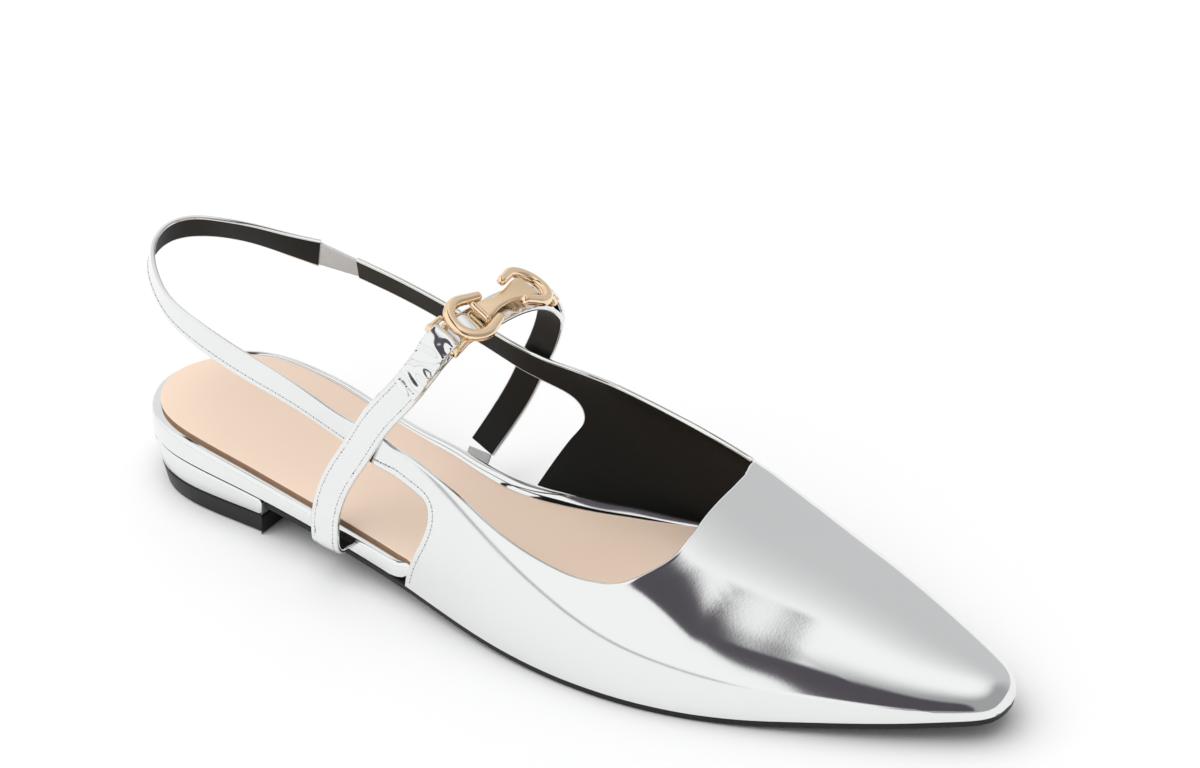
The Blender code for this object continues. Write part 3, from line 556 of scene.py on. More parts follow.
# Upper: vamp and sling strap cut as one piece of mirror silver leather, lined in dark brown. The
# edges at the throat, the cut-outs and the sling are turned in, and the wall is lasted under the
# board at the feather line.
PATTERN = (
    (0.397, 0.610, 0.397, 0.710), (0.420, 0.590, 0.420, 0.705), (0.443, 0.563, 0.439, 0.709),
    (0.470, 0.535, 0.451, 0.735), (0.498, 0.511, 0.456, 0.777), (0.525, 0.497, 0.453, 0.820),
    (0.552, 0.477, 0.443, 0.870), (0.576, 0.455, 0.429, 0.941), (0.597, 0.432, 0.416, 1.000),
    (0.613, 0.420, 0.462, 1.0), (0.626, 0.414, 0.523, 1.0), (0.638, 0.409, 0.588, 1.0),
    (0.648, 0.405, 0.649, 1.0), (0.656, 0.393, 0.702, 1.0), (0.661, 0.365, 0.748, 1.0),
    (0.665, 0.300, 0.809, 1.0), (0.667, 0.235, 0.874, 1.0), (0.669, 0.180, 0.927, 1.0),
    (0.671, 0.140, 0.966, 1.0), (0.672, 0.115, 0.989, 1.0), (0.673, 0.100, 1.000, 1.0),
    (0.674, 0.050, 1.000, 0.5), (0.675, 0.000, 1.000, 0.0), (0.676, -0.060, 1.000, -0.5),
    (0.677, -0.110, 1.000, -1.0), (0.678, -0.140, 0.989, -1.0), (0.679, -0.170, 0.966, -1.0),
    (0.679, -0.205, 0.927, -1.0), (0.679, -0.255, 0.874, -1.0), (0.677, -0.330, 0.809, -1.0),
    (0.669, -0.410, 0.748, -1.0), (0.658, -0.485, 0.702, -1.0), (0.644, -0.550, 0.656, -1.0),
    (0.627, -0.588, 0.603, -1.0), (0.605, -0.620, 0.542, -1.0), (0.577, -0.641, 0.481, -1.0),
    (0.549, -0.653, 0.431, -1.0), (0.524, -0.657, 0.398, -1.000), (0.500, -0.656, 0.407, -0.955),
    (0.483, -0.652, 0.421, -0.885), (0.462, -0.648, 0.429, -0.820), (0.440, -0.648, 0.429, -0.770),
    (0.420, -0.649, 0.420, -0.742), (0.401, -0.651, 0.402, -0.739), (0.382, -0.660, 0.382, -0.739),
)
PATTERN_CORNERS = (8, 20, 24, 37)
ROW_STEPS = 5
UPPER_COLUMNS = 36
COLUMN_CROWDING = 1.35
SLING_HEIGHT = 62.0 * MM
SLING_WIDTH = 7.9 * MM
HEEL_CENTRE = 0.105
SLING_MEDIAL = (
    (0.366, 0.399, 0.716, 0.30), (0.328, 0.399, 0.761, 0.35), (0.279, 0.397, 0.816, 0.40),
    (0.229, 0.389, 0.868, 0.42), (0.180, 0.379, 0.908, 0.42),
)
SLING_LATERAL = (
    (0.363, -0.364, 0.672, 0.08), (0.328, -0.359, 0.702, -0.12), (0.290, -0.351, 0.742, -0.20),
    (0.258, -0.346, 0.781, -0.17), (0.191, -0.333, 0.838, -0.07), (0.126, -0.312, 0.897, -0.06),
    (0.075, -0.260, 0.932, -0.08), (0.038, -0.180, 0.959, 0.02), (0.011, -0.097, 0.985, 0.16),
    (-0.005, -0.012, 1.009, 0.33), (-0.007, 0.072, 1.029, 0.43), (0.003, 0.158, 1.030, 0.47),
    (0.026, 0.234, 1.012, 0.52), (0.059, 0.292, 0.987, 0.46), (0.097, 0.331, 0.957, 0.30),
    (0.134, 0.357, 0.937, 0.07),
)
BAND_STEPS = 9
BLEND_ROWS = (10, 5)
NORMAL_STEP = 0.004
NO_NORMAL = 1e-14
UPPER_SHARP = 0.9
EDGE_POINTS = 5
EDGE_BULGE = 0.9
EDGE_SUPPORT = 0.7 * MM
LINING_BROWN = (0.011, 0.0105, 0.009)


def last_normal(x, turn):
    around = angle_of(np.asarray(x) / SOLE_LENGTH)
    nearby = [np.clip(around + step, 0, np.pi) for step in (-NORMAL_STEP, NORMAL_STEP)]
    behind, ahead = [last_point(SOLE_LENGTH * (1 - np.cos(a)) / 2, turn) for a in nearby]
    turns = [np.clip(turn + step, -1, 1) for step in (-NORMAL_STEP, NORMAL_STEP)]
    lateral, medial = [last_point(x, a) for a in turns]
    normals = np.cross(ahead - behind, medial - lateral)
    lengths = np.linalg.norm(normals, axis=-1)
    normals[lengths < NO_NORMAL] = (1.0, 0.0, 0.0)
    return normals / np.linalg.norm(normals, axis=-1)[..., None]


def refine(values, corners, steps):
    """Rows between the pattern's rows, with a break in the curve at each corner."""
    places = np.arange(len(values))
    ends = [0, *corners, len(values) - 1]
    fine = []
    for start, end in zip(ends, ends[1:]):
        wanted = np.linspace(start, end, (end - start) * steps + 1)
        fine.extend(fair(places[start:end + 1], values[start:end + 1], wanted)[:-1])
    return np.array(fine + [values[-1]])


def vamp_rows():
    top_x = refine(column(PATTERN, 0), (), ROW_STEPS) * SOLE_LENGTH
    top_turn = refine(column(PATTERN, 1), (), ROW_STEPS)
    low_x = refine(column(PATTERN, 2), PATTERN_CORNERS, ROW_STEPS) * SOLE_LENGTH
    low_turn = refine(column(PATTERN, 3), PATTERN_CORNERS, ROW_STEPS)
    share = 1 - (1 - np.linspace(0, 1, UPPER_COLUMNS + 1)) ** COLUMN_CROWDING
    share = np.tile(share, (len(top_x), 1))
    reach = np.linalg.norm(last_point(top_x, top_turn) - last_point(low_x, low_turn), axis=1)
    share[:, 1] = np.minimum(share[:, 1], EDGE_SUPPORT / reach)
    share[:, -2] = np.maximum(share[:, -2], 1 - EDGE_SUPPORT / reach)
    x = top_x[:, None] + (low_x - top_x)[:, None] * share
    turn = top_turn[:, None] + (low_turn - top_turn)[:, None] * share
    x = np.minimum(x, SOLE_LENGTH)
    turn = np.clip(turn, -1, 1)
    return last_point(x, turn), last_normal(x, turn)


def sling_rows(vamp, path):
    """Rows along the sling. They leave the vamp in line with its own rows, which come first."""
    lead = [vamp[row] for row in BLEND_ROWS] + [vamp[0]]
    share = np.linspace(1, -1, UPPER_COLUMNS + 1)
    centres = [(row[0] + row[-1]) / 2 for row in lead]
    halves = [(row[0] - row[-1]) / 2 for row in lead]
    centres += [(x * SOLE_LENGTH, y * BALL_WIDTH, z * SLING_HEIGHT) for x, y, z, _ in path]
    centres = np.array(centres)
    tangents = np.gradient(centres, axis=0)
    for index, lean in enumerate(column(path, 3), len(lead)):
        outward = unit(np.cross(tangents[index], (0, 0, 1)))
        inside = np.array((HEEL_CENTRE * SOLE_LENGTH, 0, centres[index][2]))
        if np.dot(outward, centres[index] - inside) < 0:
            outward = -outward
        across = square_to(np.array((0, 0, 1)) - lean * outward, unit(tangents[index]))
        halves.append(across * SLING_WIDTH / 2)
    places = run_along(centres)
    first = len(lead) - 1
    rows = first + np.arange((len(places) - 1 - first) * BAND_STEPS + 1) / BAND_STEPS
    wanted = np.interp(rows, np.arange(len(places)), places)
    middle = fair_line(places, centres, wanted)
    half = fair_line(places, np.array(halves), wanted)
    straight = middle[:, None, :] + half[:, None, :] * share[None, :, None]
    fade = 1 - ease(wanted - places[first], 0, places[first + 2] - places[first])
    return straight + fade[:, None, None] * (vamp[0] - straight[0])


def row_normals(grid):
    return unit(np.cross(np.gradient(grid, axis=0), np.gradient(grid, axis=1)))


def turned_edge(outer, inner, away, bulge):
    """Round of a turned edge from the outer to the inner face of the wall."""
    centre = (outer + inner) / 2
    half = (outer - inner) / 2
    angles = np.linspace(0, np.pi, EDGE_POINTS + 2)[1:-1]
    reach = (bulge * np.linalg.norm(half, axis=1))[:, None] * away
    return np.stack([centre + half * np.cos(a) + reach * np.sin(a) for a in angles], 1)


lining = surface("dark brown lining", LINING_BROWN, 0.5, 0.0, 1600, 40, 0.00004, 0.15, 0.06, 0.2)
vamp, vamp_out = vamp_rows()
medial_sling = sling_rows(vamp, SLING_MEDIAL)
lateral_sling = sling_rows(vamp[::-1], SLING_LATERAL)
upper_face = np.concatenate([medial_sling[:0:-1], vamp, lateral_sling[1:]])
upper_out = row_normals(upper_face)
vamp_start = len(medial_sling) - 1
upper_out[vamp_start:vamp_start + len(vamp)] = vamp_out
upper_back = upper_face - upper_out * WALL
upper_back[..., 2] = np.maximum(upper_back[..., 2], board_bottom(upper_back[..., 0]))
lasted = np.zeros(len(upper_face))
front = vamp_start + PATTERN_CORNERS[0] * ROW_STEPS
rear = vamp_start + PATTERN_CORNERS[3] * ROW_STEPS + 1
lasted[front:rear] = 1
above = unit(upper_face[:, 0] - upper_face[:, 1])
below = unit(upper_face[:, -1] - upper_face[:, -2])
low_edge = turned_edge(upper_face[:, -1], upper_back[:, -1], below, EDGE_BULGE * (1 - lasted))
top_edge = turned_edge(upper_face[:, 0], upper_back[:, 0], above, EDGE_BULGE)[:, ::-1]
upper_rings = np.concatenate([upper_face, low_edge, upper_back[:, ::-1], top_edge], axis=1)
upper_looks = [0] * (UPPER_COLUMNS + EDGE_POINTS + 2)
upper_looks += [1] * (UPPER_COLUMNS - 1) + [0] * (EDGE_POINTS + 1)
upper = loft("silver_upper", upper_rings, upper_looks, UPPER_SHARP)
fit(upper, "upper", "mirror_silver", silver, lining)


# Stitching: one row of pale thread that holds the turned edge to the lining, along the sling's
# lower edge, round each cut-out and down to the sole. Each stitch ends in a needle hole, drawn as
# a dark dot of painted shade.
STITCH_INSET = 1.5 * MM
STITCH_PITCH = 2.6 * MM
STITCH_HALF = np.array((0.95, 0.2, 0.16)) * MM
HOLE_SHADE_HALF = np.array((0.2, 0.2, 0.1)) * MM
THREAD_STANDS_OUT = 0.02 * MM
STITCH_STEP = 0.3 * MM
BEAD_SHARP = 3.0
THREAD_GREY = (0.62, 0.62, 0.62)
# The grey that follows is the painted shade of the needle holes.
HOLE_SHADE_GREY = (0.03, 0.03, 0.035)


def bead(segments, rings):
    """Round bead, the shape from which stitches and the dark dots of painted needle-hole shade are
    copied.
    """
    bpy.ops.object.select_all(action="DESELECT")
    bpy.ops.mesh.primitive_uv_sphere_add(segments=segments, ring_count=rings, radius=1.0)
    piece = bpy.context.object
    points = np.array([v.co for v in piece.data.vertices])
    faces = [tuple(face.vertices) for face in piece.data.polygons]
    bpy.data.objects.remove(piece)
    return points, faces


def point_at(run, points, place):
    """Point of a line of straight steps at a distance along it."""
    return np.array([np.interp(place, run, points[:, k]) for k in range(3)])


def sew(name, node, slot_name, lines, inset=STITCH_INSET):
    """Rows of stitches. A line is its edge points, the way from the edge, and the outward way."""
    points, faces = bead(8, 6)
    mesh = bmesh.new()
    for edge_points, from_edge, outward in lines:
        spots = edge_points + from_edge * inset
        run = run_along(spots)
        count = int(run[-1] / STITCH_PITCH)
        for number in range(count * 2 + 1):
            place = number * run[-1] / (count * 2)
            centre = point_at(run, spots, place)
            ahead = point_at(run, spots, place + STITCH_STEP)
            way = unit(ahead - point_at(run, spots, place - STITCH_STEP))
            out = square_to(point_at(run, outward, place), way)
            side = np.cross(out, way)
            # Every other bead is a dark dot: painted shade standing for a needle hole.
            half = STITCH_HALF if number % 2 else HOLE_SHADE_HALF
            shaped = points * half
            turned = shaped[:, :1] * way + shaped[:, 1:2] * side + shaped[:, 2:] * out
            local = centre + HEEL_BACK + turned + out * THREAD_STANDS_OUT
            verts = [mesh.verts.new(p) for p in local]
            for face in faces:
                mesh.faces.new([verts[i] for i in face]).material_index = 1 - number % 2
    fit(finish_mesh(mesh, name, BEAD_SHARP), node, slot_name, thread, needle_hole_shade)


thread = surface("pale thread", THREAD_GREY, 0.6, 0.0, 4000, 300, 0.00005, 0.1)
# Needle holes are drawn as dark dots in a painted shade colour.
needle_hole_shade = surface("needle hole", HOLE_SHADE_GREY, 0.8, 0.0, 3000, 100, 0.00002)
low_line = upper_face[:, -1]
inward = unit(np.cross(upper_out[:, -1], np.gradient(low_line, axis=0)))
inward *= np.sign(((upper_face[:, -2] - low_line) * inward).sum(axis=1))[:, None]
seams = [
    (low_line[rear:], inward[rear:], upper_out[rear:, -1]),
    (low_line[:front], inward[:front], upper_out[:front, -1]),
]
sew("upper_stitching", "upper", "mirror_silver", seams)


# Sling elastic: a short piece of woven elastic between the two ends of the sling, on the inner
# side of the foot. It lets the sling give over the heel.
ELASTIC_THICK = 0.9 * MM
ELASTIC_NARROWING = 0.6 * MM
ELASTIC_GREY = (0.80, 0.80, 0.79)
ELASTIC_WAVES = (("Y", 420.0), ("X", 700.0))
ELASTIC_SHADOW = 0.72
ELASTIC_RELIEF = 0.12 * MM
ELASTIC_ROWS = 17
SECTION_FACE = 11
SECTION_ROUND = 5
SECTION_SIDE = 0.06
SECTION_TOP = 0.45
ELASTIC_TUCK = 0.03


def band_section(crown=0.0):
    """Outline of a band's section: shares of its width across and of its thickness up."""
    across = np.linspace(-0.5, 0.5, SECTION_FACE)
    turn = np.linspace(np.pi / 2, -np.pi / 2, SECTION_ROUND + 2)[1:-1]
    lift = 0.5 + crown * (1 - (2 * across) ** 2)
    face = list(zip(across, lift))
    right = [(0.5 + SECTION_SIDE * np.cos(a), 0.5 * np.sin(a)) for a in turn]
    under = [(a, -0.5) for a in across[::-1]]
    left = [(-x, -y) for x, y in right]
    return np.array(face + right + under + left)


def woven_elastic():
    """Ribbed elastic: ribs along its length, and fine yarns across."""
    material, tree, shader = new_material("woven elastic", 0.75)
    place = tree.nodes.new("ShaderNodeUVMap")
    place.uv_map = "UVMap"
    both = tree.nodes.new("ShaderNodeMath")
    both.operation = "MULTIPLY"
    for index, (direction, scale) in enumerate(ELASTIC_WAVES):
        wave = tree.nodes.new("ShaderNodeTexWave")
        wave.bands_direction = direction
        wave.inputs["Scale"].default_value = scale
        tree.links.new(place.outputs["UV"], wave.inputs["Vector"])
        tree.links.new(wave.outputs["Fac"], both.inputs[index])
    shadow = tuple(c * ELASTIC_SHADOW for c in ELASTIC_GREY)
    tone = lay_over(tree, shadow, ELASTIC_GREY, both.outputs["Value"])
    tree.links.new(tone, shader.inputs["Base Color"])
    emboss(tree, shader, both.outputs["Value"], ELASTIC_RELIEF)
    return material


elastic_cloth = woven_elastic()
toe_end = (upper_face[0], upper_back[0])
heel_end = (upper_face[-1], upper_back[-1])
rows = []
for share in np.linspace(-ELASTIC_TUCK, 1 + ELASTIC_TUCK, ELASTIC_ROWS):
    outer, inner = [a + (b - a) * share for a, b in zip(toe_end, heel_end)]
    middle = (outer.mean(axis=0) + inner.mean(axis=0)) / 2
    across = (outer[0] - outer[-1]) * (1 - 2 * ELASTIC_NARROWING / SLING_WIDTH)
    up = unit((outer - inner).mean(axis=0)) * ELASTIC_THICK
    rows.append([middle + across * a + up * b for a, b in band_section()])
sling_elastic = loft("woven_sling_elastic", rows)
fit(sling_elastic, "sling_elastic", "elastic_grey", elastic_cloth)


# Instep strap: folded silver leather, stitched along both edges. It comes up from under the
# board on the outer side, goes over the instep and down the inner side to a short elastic.
INSTEP_HEIGHT = 76.6 * MM
STRAP_FOOT = 0.303
INSTEP_WIDTH = 7.8 * MM
INSTEP_THICK = 1.4 * MM
INSTEP_STRAP = (
    (0.303, -0.232, 0.0109, 5.6), (0.303, -0.296, 0.0109, 5.6), (0.303, -0.354, 0.0109, 5.6),
    (0.3032, -0.400, 0.0104, 5.6), (0.3035, -0.4235, 0.0402, 5.6), (0.3034, -0.4253, 0.0907, 6),
    (0.3032, -0.421, 0.1368, 8), (0.3055, -0.411, 0.2133, 12), (0.3185, -0.401, 0.3459, 20),
    (0.338, -0.388, 0.4774, 24), (0.3625, -0.375, 0.6392, 27), (0.3925, -0.348, 0.7932, 27),
    (0.406, -0.312, 0.8809, 27), (0.4135, -0.258, 0.9427, 27), (0.4185, -0.201, 0.9741, 27),
    (0.4235, -0.129, 0.9865, 26), (0.429, -0.039, 0.9944, 25), (0.434, 0.052, 0.9955, 25),
    (0.438, 0.124, 0.9820, 24), (0.4395, 0.183, 0.9550, 24), (0.4385, 0.236, 0.9123, 24),
    (0.4355, 0.287, 0.8595, 24), (0.4285, 0.339, 0.7943, 24), (0.413, 0.387, 0.6538, 22),
    (0.391, 0.424, 0.4897, 20), (0.3745, 0.425, 0.3459, 16), (0.357, 0.396, 0.2031, 10),
    (0.342, 0.335, 0.0756, 6),
)
STRAP_STEPS = 8
NEAR_RING = ((112.1 * MM, -10.0 * MM, 78.5 * MM), 1, 1.2, 6.7, 24.6)
FAR_RING = ((115.6 * MM, 10.3 * MM, 79.1 * MM), -1, 17.0, 1.4, 23.1)
BAR_INWARD = -9.9 * MM
BAR_UP = -3.1 * MM
STRAP_CROWN = 0.12
STRAP_SEAM = 1.0 * MM
STRAP_SEAM_RUN = (3, 13)
# Waves in a strap's face: how many, their lengths in millimetres, their slant and their depth
STRAP_WAVES = (14, (3.0, 9.0), 1.2, 0.022 * MM)
WAVE_LEAN = 3
WAVE_START = 6.28
STRAP_SEAM_LIFT = 0.52
STRAP_SEED = 7
CRUMPLE = 3.0
CRUMPLE_FROM_BAR = 6 * MM
CRUMPLE_REACH = 10 * MM


def strap_frame(path, steps):
    """Mid-line of a strap, and its directions across and outward at each point."""
    path = np.array(path)
    base = board_bottom(SOLE_LENGTH * STRAP_FOOT)
    knots = path[:, :3] * (SOLE_LENGTH, BALL_WIDTH, INSTEP_HEIGHT - base) + (0.0, 0.0, base)
    places = run_along(knots)
    rows = np.arange((len(places) - 1) * steps + 1) / steps
    wanted = np.interp(rows, np.arange(len(places)), places)
    middle = fair_line(places, knots, wanted)
    dip = np.radians(fair(places, path[:, 3], wanted))
    ahead = unit(np.gradient(middle, axis=0))
    across = square_to(np.stack([np.cos(dip), np.zeros(len(dip)), -np.sin(dip)], -1), ahead)
    return middle, across, np.cross(across, ahead)


def band_rings(middle, across, outward, width, thick, section, ripple=None):
    rings = []
    for index in range(len(middle)):
        lift = section[:, 1] * thick
        if ripple is not None:
            lift = lift + ripple[index] * (section[:, 1] > SECTION_TOP)
        reach = across[index] * section[:, :1] * width
        rings.append(middle[index] + reach + outward[index] * lift[:, None])
    return np.array(rings)


def waves(run, count, lengths, slant, depth):
    """Slanting waves of random length in the outer face of a strap."""
    height = np.zeros((len(run), len(strap_section)))
    for _ in range(count):
        length = chance.uniform(*lengths) * MM
        lean = chance.uniform(-slant, slant) * WAVE_LEAN
        phase = run[:, None] / length * 2 * np.pi + strap_section[None, :, 0] * lean
        height += np.sin(phase + chance.uniform(0, WAVE_START)) * depth
    return height


def ring_frame(ring):
    """Centre of a ring and its directions: inward to the crest, across to the toe, and up."""
    centre, way, pitch, yaw, dip = ring
    pitch, yaw, dip = np.radians((pitch, yaw, dip))
    level = np.cos(pitch)
    inward = np.array((np.sin(yaw) * level, way * np.cos(yaw) * level, np.sin(pitch)))
    across = square_to(np.array((np.cos(dip), 0.0, -np.sin(dip))), inward)
    return np.array(centre), inward, across, way * np.cross(across, inward)


def bar_place(ring):
    centre, inward_way, _, up_way = ring_frame(ring)
    return centre + BAR_INWARD * inward_way + BAR_UP * up_way


strap_mid, strap_across, strap_out = strap_frame(INSTEP_STRAP, STRAP_STEPS)
strap_section = band_section(STRAP_CROWN)
chance = np.random.default_rng(STRAP_SEED)
strap_run = run_along(strap_mid)
ripple = waves(strap_run, *STRAP_WAVES)
near_bar = np.argmin(np.linalg.norm(strap_mid - bar_place(NEAR_RING), axis=1))
from_crumple = strap_run - strap_run[near_bar] + CRUMPLE_FROM_BAR
crumple = 1 + CRUMPLE * np.exp(-(from_crumple / CRUMPLE_REACH) ** 2)
ripple *= crumple[:, None]
strap_lines = (strap_mid, strap_across, strap_out)
strap_rings = band_rings(*strap_lines, INSTEP_WIDTH, INSTEP_THICK, strap_section, ripple)
strap_looks = [0] * (SECTION_FACE + SECTION_ROUND)
strap_looks += [1] * (SECTION_FACE - 1) + [0] * (SECTION_ROUND + 1)
strap = loft("silver_instep_strap", strap_rings, strap_looks)
fit(strap, "instep_strap", "mirror_silver", silver, lining)
strap_seams = []
outer_run = slice(*[knot * STRAP_STEPS for knot in STRAP_SEAM_RUN])
for side in (-1, 1):
    line = strap_mid + strap_across * side * INSTEP_WIDTH / 2
    line += strap_out * INSTEP_THICK * STRAP_SEAM_LIFT
    strap_seams.append((line[outer_run], -side * strap_across[outer_run], strap_out[outer_run]))
sew("strap_stitching", "instep_strap", "mirror_silver", strap_seams, STRAP_SEAM)


# Strap folds: at each ring the strap's silver leather is turned round the bar of the loop and
# stitched down on itself, so it is double and crumpled there.
FOLD_THICK = 1.1 * MM
FOLD_WIDTH = 7.2 * MM
# On the strap: distance back from the bar and height; round the bar: distance along and height
FOLD_ON_STRAP = ((-15.0, 1.25), (-12.0, 1.3), (-9.0, 1.35), (-6.0, 1.6))
FOLD_ROUND_BAR = ((-2.6, 0.75), (-1.4, 1.3), (-0.1, 1.5), (1.5, 1.1), (2.1, 0.1), (1.8, -0.9))
FOLD_POINTS = 70
FOLD_WAVES = (12, (2.6, 7.0), 2.0, 0.065 * MM)
TACK_ROW = 5
TACK_HALF = 2.6
TACK_POINTS = 9
TACK_LIFT = 0.62
ENDS = (("near", NEAR_RING, 1), ("far", FAR_RING, -1))
for label, ring, way in ENDS:
    bar = bar_place(ring)
    index = np.argmin(np.linalg.norm(strap_mid - bar, axis=1))
    knots = []
    for back, high in FOLD_ON_STRAP:
        run = strap_run[index] + way * back * MM
        knots.append(point_at(strap_run, strap_mid + strap_out * high * MM, run))
    ahead = unit(strap_mid[index + 2] - strap_mid[index - 2]) * way
    knots += [bar + ahead * a * MM + strap_out[index] * b * MM for a, b in FOLD_ROUND_BAR]
    knots = np.array(knots)
    places = run_along(knots)
    wanted = np.linspace(0, places[-1], FOLD_POINTS)
    middle = fair_line(places, knots, wanted)
    forward = unit(np.gradient(middle, axis=0))
    across = square_to(strap_across[index], forward)
    outward = np.cross(across, forward) * way
    creases = waves(wanted, *FOLD_WAVES)
    rings = band_rings(middle, across, outward, FOLD_WIDTH, FOLD_THICK, strap_section, creases)
    fit(loft(f"silver_{label}_fold", rings), "instep_strap", "mirror_silver", silver)
    millimetres = np.linspace(-TACK_HALF, TACK_HALF, TACK_POINTS)[:, None]
    lifted = middle[TACK_ROW] + outward[TACK_ROW] * FOLD_THICK * TACK_LIFT
    tack = lifted + across[TACK_ROW] * millimetres * MM
    tack_out = np.tile(outward[TACK_ROW], (TACK_POINTS, 1))
    seam = [(tack, np.zeros_like(tack), tack_out)]
    sew(f"silver_{label}_fold_tack", "instep_strap", "mirror_silver", seam)


# Instep elastic: a short woven elastic from the inner end of the instep strap to under the
# board. It is sewn under the strap's end, and gives when the foot goes in.
INSTEP_ELASTIC = (
    (0.3402, 0.3270, 0.0593, 5.6), (0.3398, 0.319, 0.0424, 5.6), (0.3392, 0.311, 0.0256, 5.6),
    (0.3383, 0.299, 0.0087, 5.6), (0.3375, 0.279, -0.0037, 5.6), (0.337, 0.245, -0.0065, 5.6),
    (0.337, 0.195, -0.0065, 5.6),
)
elastic_frame = strap_frame(INSTEP_ELASTIC, 5)
elastic_width = INSTEP_WIDTH - 2 * ELASTIC_NARROWING
elastic_rings = band_rings(*elastic_frame, elastic_width, ELASTIC_THICK, band_section())
instep_elastic = loft("woven_instep_elastic", elastic_rings)
fit(instep_elastic, "instep_elastic", "elastic_grey", elastic_cloth)


# Ornament rings: two horseshoes of polished gold metal, one for each end of the link. The metal
# is rounded on top, upright at its sides, and ends in rounded tips.
RING_RADIUS = 5.9 * MM
RING_WRAP = 100.0
RING_ARM = 7.6 * MM
RING_TIP = 3.9 * MM
RING_WIDTH = 3.1 * MM
TIP_WIDTH = 2.5 * MM
RING_HEIGHT = 2.6 * MM
GOLD_WARM = (0.96, 0.73, 0.49)
ROD_SIDES = 28
ROD_SHARP = 1.2
CAP_RINGS = 4
CAP_BENDS = (0.25, 0.97)
ARC_POINTS = 21
ARM_KNOTS = (0.3, 0.6, 0.85)
RING_POINTS = 90
RING_SQUARENESS = 2.6


def squared(wave, power):
    """Sines or cosines round a section that is squarer than a circle."""
    return np.sign(wave) * np.abs(wave) ** (2 / power)


def cast_rod(name, path, up, widths, heights, squareness=2.0, top_round=2.0):
    """Cast metal along a path, with rounded ends. Squareness makes its sides upright."""
    path = np.array(path)
    ahead = unit(np.gradient(path, axis=0))
    up = np.broadcast_to(up, path.shape)
    across = unit(np.cross(ahead, up))
    top = np.cross(across, ahead)
    turns = np.linspace(0, 2 * np.pi, ROD_SIDES, endpoint=False)
    flat = squared(np.cos(turns), squareness)
    high = squared(np.sin(turns), np.where(np.sin(turns) > 0, top_round, squareness))
    rings = []
    for cap in (0, None, -1):
        if cap is None:
            steps = range(len(path))
            shrink = [(1.0, 0.0)] * len(path)
        else:
            steps = [cap] * CAP_RINGS
            bends = np.linspace(*CAP_BENDS, CAP_RINGS) * np.pi / 2
            shrink = [(np.cos(b), np.sin(b)) for b in (bends[::-1] if cap == 0 else bends)]
        for i, (scale, beyond) in zip(steps, shrink):
            shift = ahead[i] * beyond * widths[i] / 2 * (-1 if cap == 0 else 1)
            sides = across[i] * flat[:, None] * widths[i] * scale / 2
            rings.append(path[i] + shift + sides + top[i] * high[:, None] * heights[i] * scale / 2)
    return loft(name, rings, None, ROD_SHARP)


gold = surface("polished gold", GOLD_WARM, 0.10, 1.0, 900, 120, 0.000004, 0.02, 0.04)
satin_gold = surface("satin gold", GOLD_WARM, 0.27, 1.0, 2500, 120, 0.00001, 0.03, 0.05)
for label, ring, _ in ENDS:
    centre, inward_way, across_way, up_way = ring_frame(ring)
    bend = np.radians(np.linspace(-RING_WRAP, RING_WRAP, ARC_POINTS))
    arc = np.stack([-RING_RADIUS * np.cos(bend), RING_RADIUS * np.sin(bend)], -1)
    tip = np.array((RING_ARM, RING_TIP))
    arm = [arc[-1] + (tip - arc[-1]) * share for share in ARM_KNOTS]
    knots = np.array([point * (1, -1) for point in reversed(arm)] + list(arc) + arm)
    places = run_along(knots)
    wanted = np.linspace(0, places[-1], RING_POINTS)
    flat = fair_line(places, knots, wanted)
    taper = np.clip(flat[:, 0] / RING_ARM, 0, 1)
    widths = RING_WIDTH + (TIP_WIDTH - RING_WIDTH) * taper
    path = centre + flat[:, :1] * inward_way + flat[:, 1:] * across_way
    heights = [RING_HEIGHT] * RING_POINTS
    piece = cast_rod(f"gold_{label}_ring", path, up_way, widths, heights, RING_SQUARENESS)
    fit(piece, f"{label}_ring", "gold", gold)


